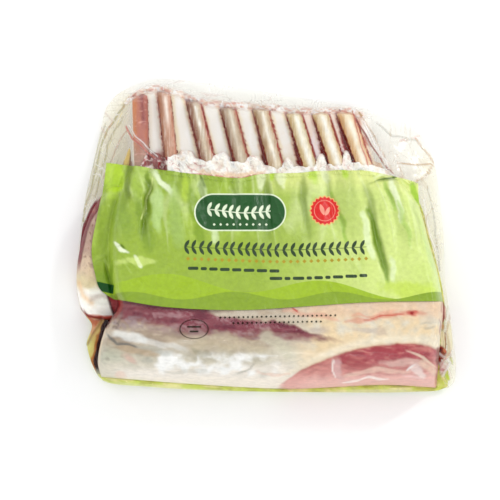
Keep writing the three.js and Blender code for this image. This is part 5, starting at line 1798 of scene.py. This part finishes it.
# %% Stage
FLOOR_SIZE = 3.0
SIDE_LIGHT = 1.03
TOP_LIGHT = 0.35
PAPER_GLOW = 0.05
DARK_FROM = 0.90
DARK_FULL = 0.985
bpy.ops.mesh.primitive_plane_add(size=FLOOR_SIZE, location=(0, 0, -0.0002))
floor = bpy.context.object
floor.name = "floor"
floor_material, tree = new_material("white_paper")
paper = node(tree, "ShaderNodeBsdfDiffuse", {}, {"Color": (0.965, 0.975, 0.98, 1)})
glow = node(tree, "ShaderNodeEmission", {}, {"Strength": PAPER_GLOW})
lit_paper = node(tree, "ShaderNodeAddShader", {}, {0: paper.outputs[0], 1: glow.outputs[0]})
node(tree, "ShaderNodeOutputMaterial", {}, {"Surface": lit_paper.outputs[0]})
floor.data.materials.append(floor_material)

world = bpy.data.worlds.new("studio")
bpy.context.scene.world = world
world.use_nodes = True
tree = world.node_tree
sky = node(tree, "ShaderNodeTexCoord")
up = node(tree, "ShaderNodeSeparateXYZ", {}, {0: sky.outputs["Generated"]})
tent = node(tree, "ShaderNodeMapRange", {"interpolation_type": "SMOOTHSTEP"},
            {"Value": up.outputs["Z"], "From Min": DARK_FROM, "From Max": DARK_FULL,
             "To Min": SIDE_LIGHT, "To Max": TOP_LIGHT})
tree.links.new(tent.outputs[0], tree.nodes["Background"].inputs["Strength"])
tree.nodes["Background"].inputs["Color"].default_value = (1, 1, 1, 1)


def soft_box(name, at, size, watts):
    """A rectangular studio light aimed at the pack."""
    light = bpy.data.lights.new(name, "AREA")
    light.shape = "RECTANGLE"
    light.size, light.size_y = size
    light.energy = watts
    made = bpy.data.objects.new(name, light)
    bpy.context.scene.collection.objects.link(made)
    made.location = at
    aim = -made.location.normalized()
    made.rotation_euler = aim.to_track_quat("-Z", "Y").to_euler()
    return made


soft_box("key", (0.75, 0.65, 0.85), (0.08, 0.18), 2.6)
soft_box("fill", (-0.45, 0.55, 1.0), (0.05, 0.28), 0.45)
soft_box("front", (0.05, -0.7, 0.9), (0.4, 0.05), 0.5)

LENS_MM = 200.0
SENSOR_MM = 36.0
MM_PER_PIXEL = 0.62
PICTURE_PIXELS = 500
LOOK_AT = (-0.0099, -0.0096, 0.022)
ELEVATION = 88.0
camera_data = bpy.data.cameras.new("camera")
camera_data.lens = LENS_MM
camera_data.sensor_width = SENSOR_MM
camera_data.clip_end = 20
camera = bpy.data.objects.new("camera", camera_data)
bpy.context.scene.collection.objects.link(camera)
distance = PICTURE_PIXELS * MM_PER_PIXEL / 1000 * LENS_MM / SENSOR_MM
tilt = math.radians(ELEVATION)
camera.location = (LOOK_AT[0], LOOK_AT[1] - distance * math.cos(tilt),
                   LOOK_AT[2] + distance * math.sin(tilt))
camera.rotation_euler = (math.pi / 2 - tilt, 0, 0)
bpy.context.scene.camera = camera
bpy.context.scene.view_settings.view_transform = "Standard"

# %% [markdown]
# ## The pieces on the body
# Every piece rides on the one body, and the film stands for the bag's solid.

# %% Ride on the body
SLOTS = {
    "clear_film": [film_front, film_back],
    "printed_film": [band, back_print, marks],
    "raw_meat": [rack, second_rack, smear],
    "fat": [fat_mass, scraps],
    "rib_bone": ribs,
}
for slot, members in SLOTS.items():
    for piece in members:
        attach(piece, "root")
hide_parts("sealed_bag")
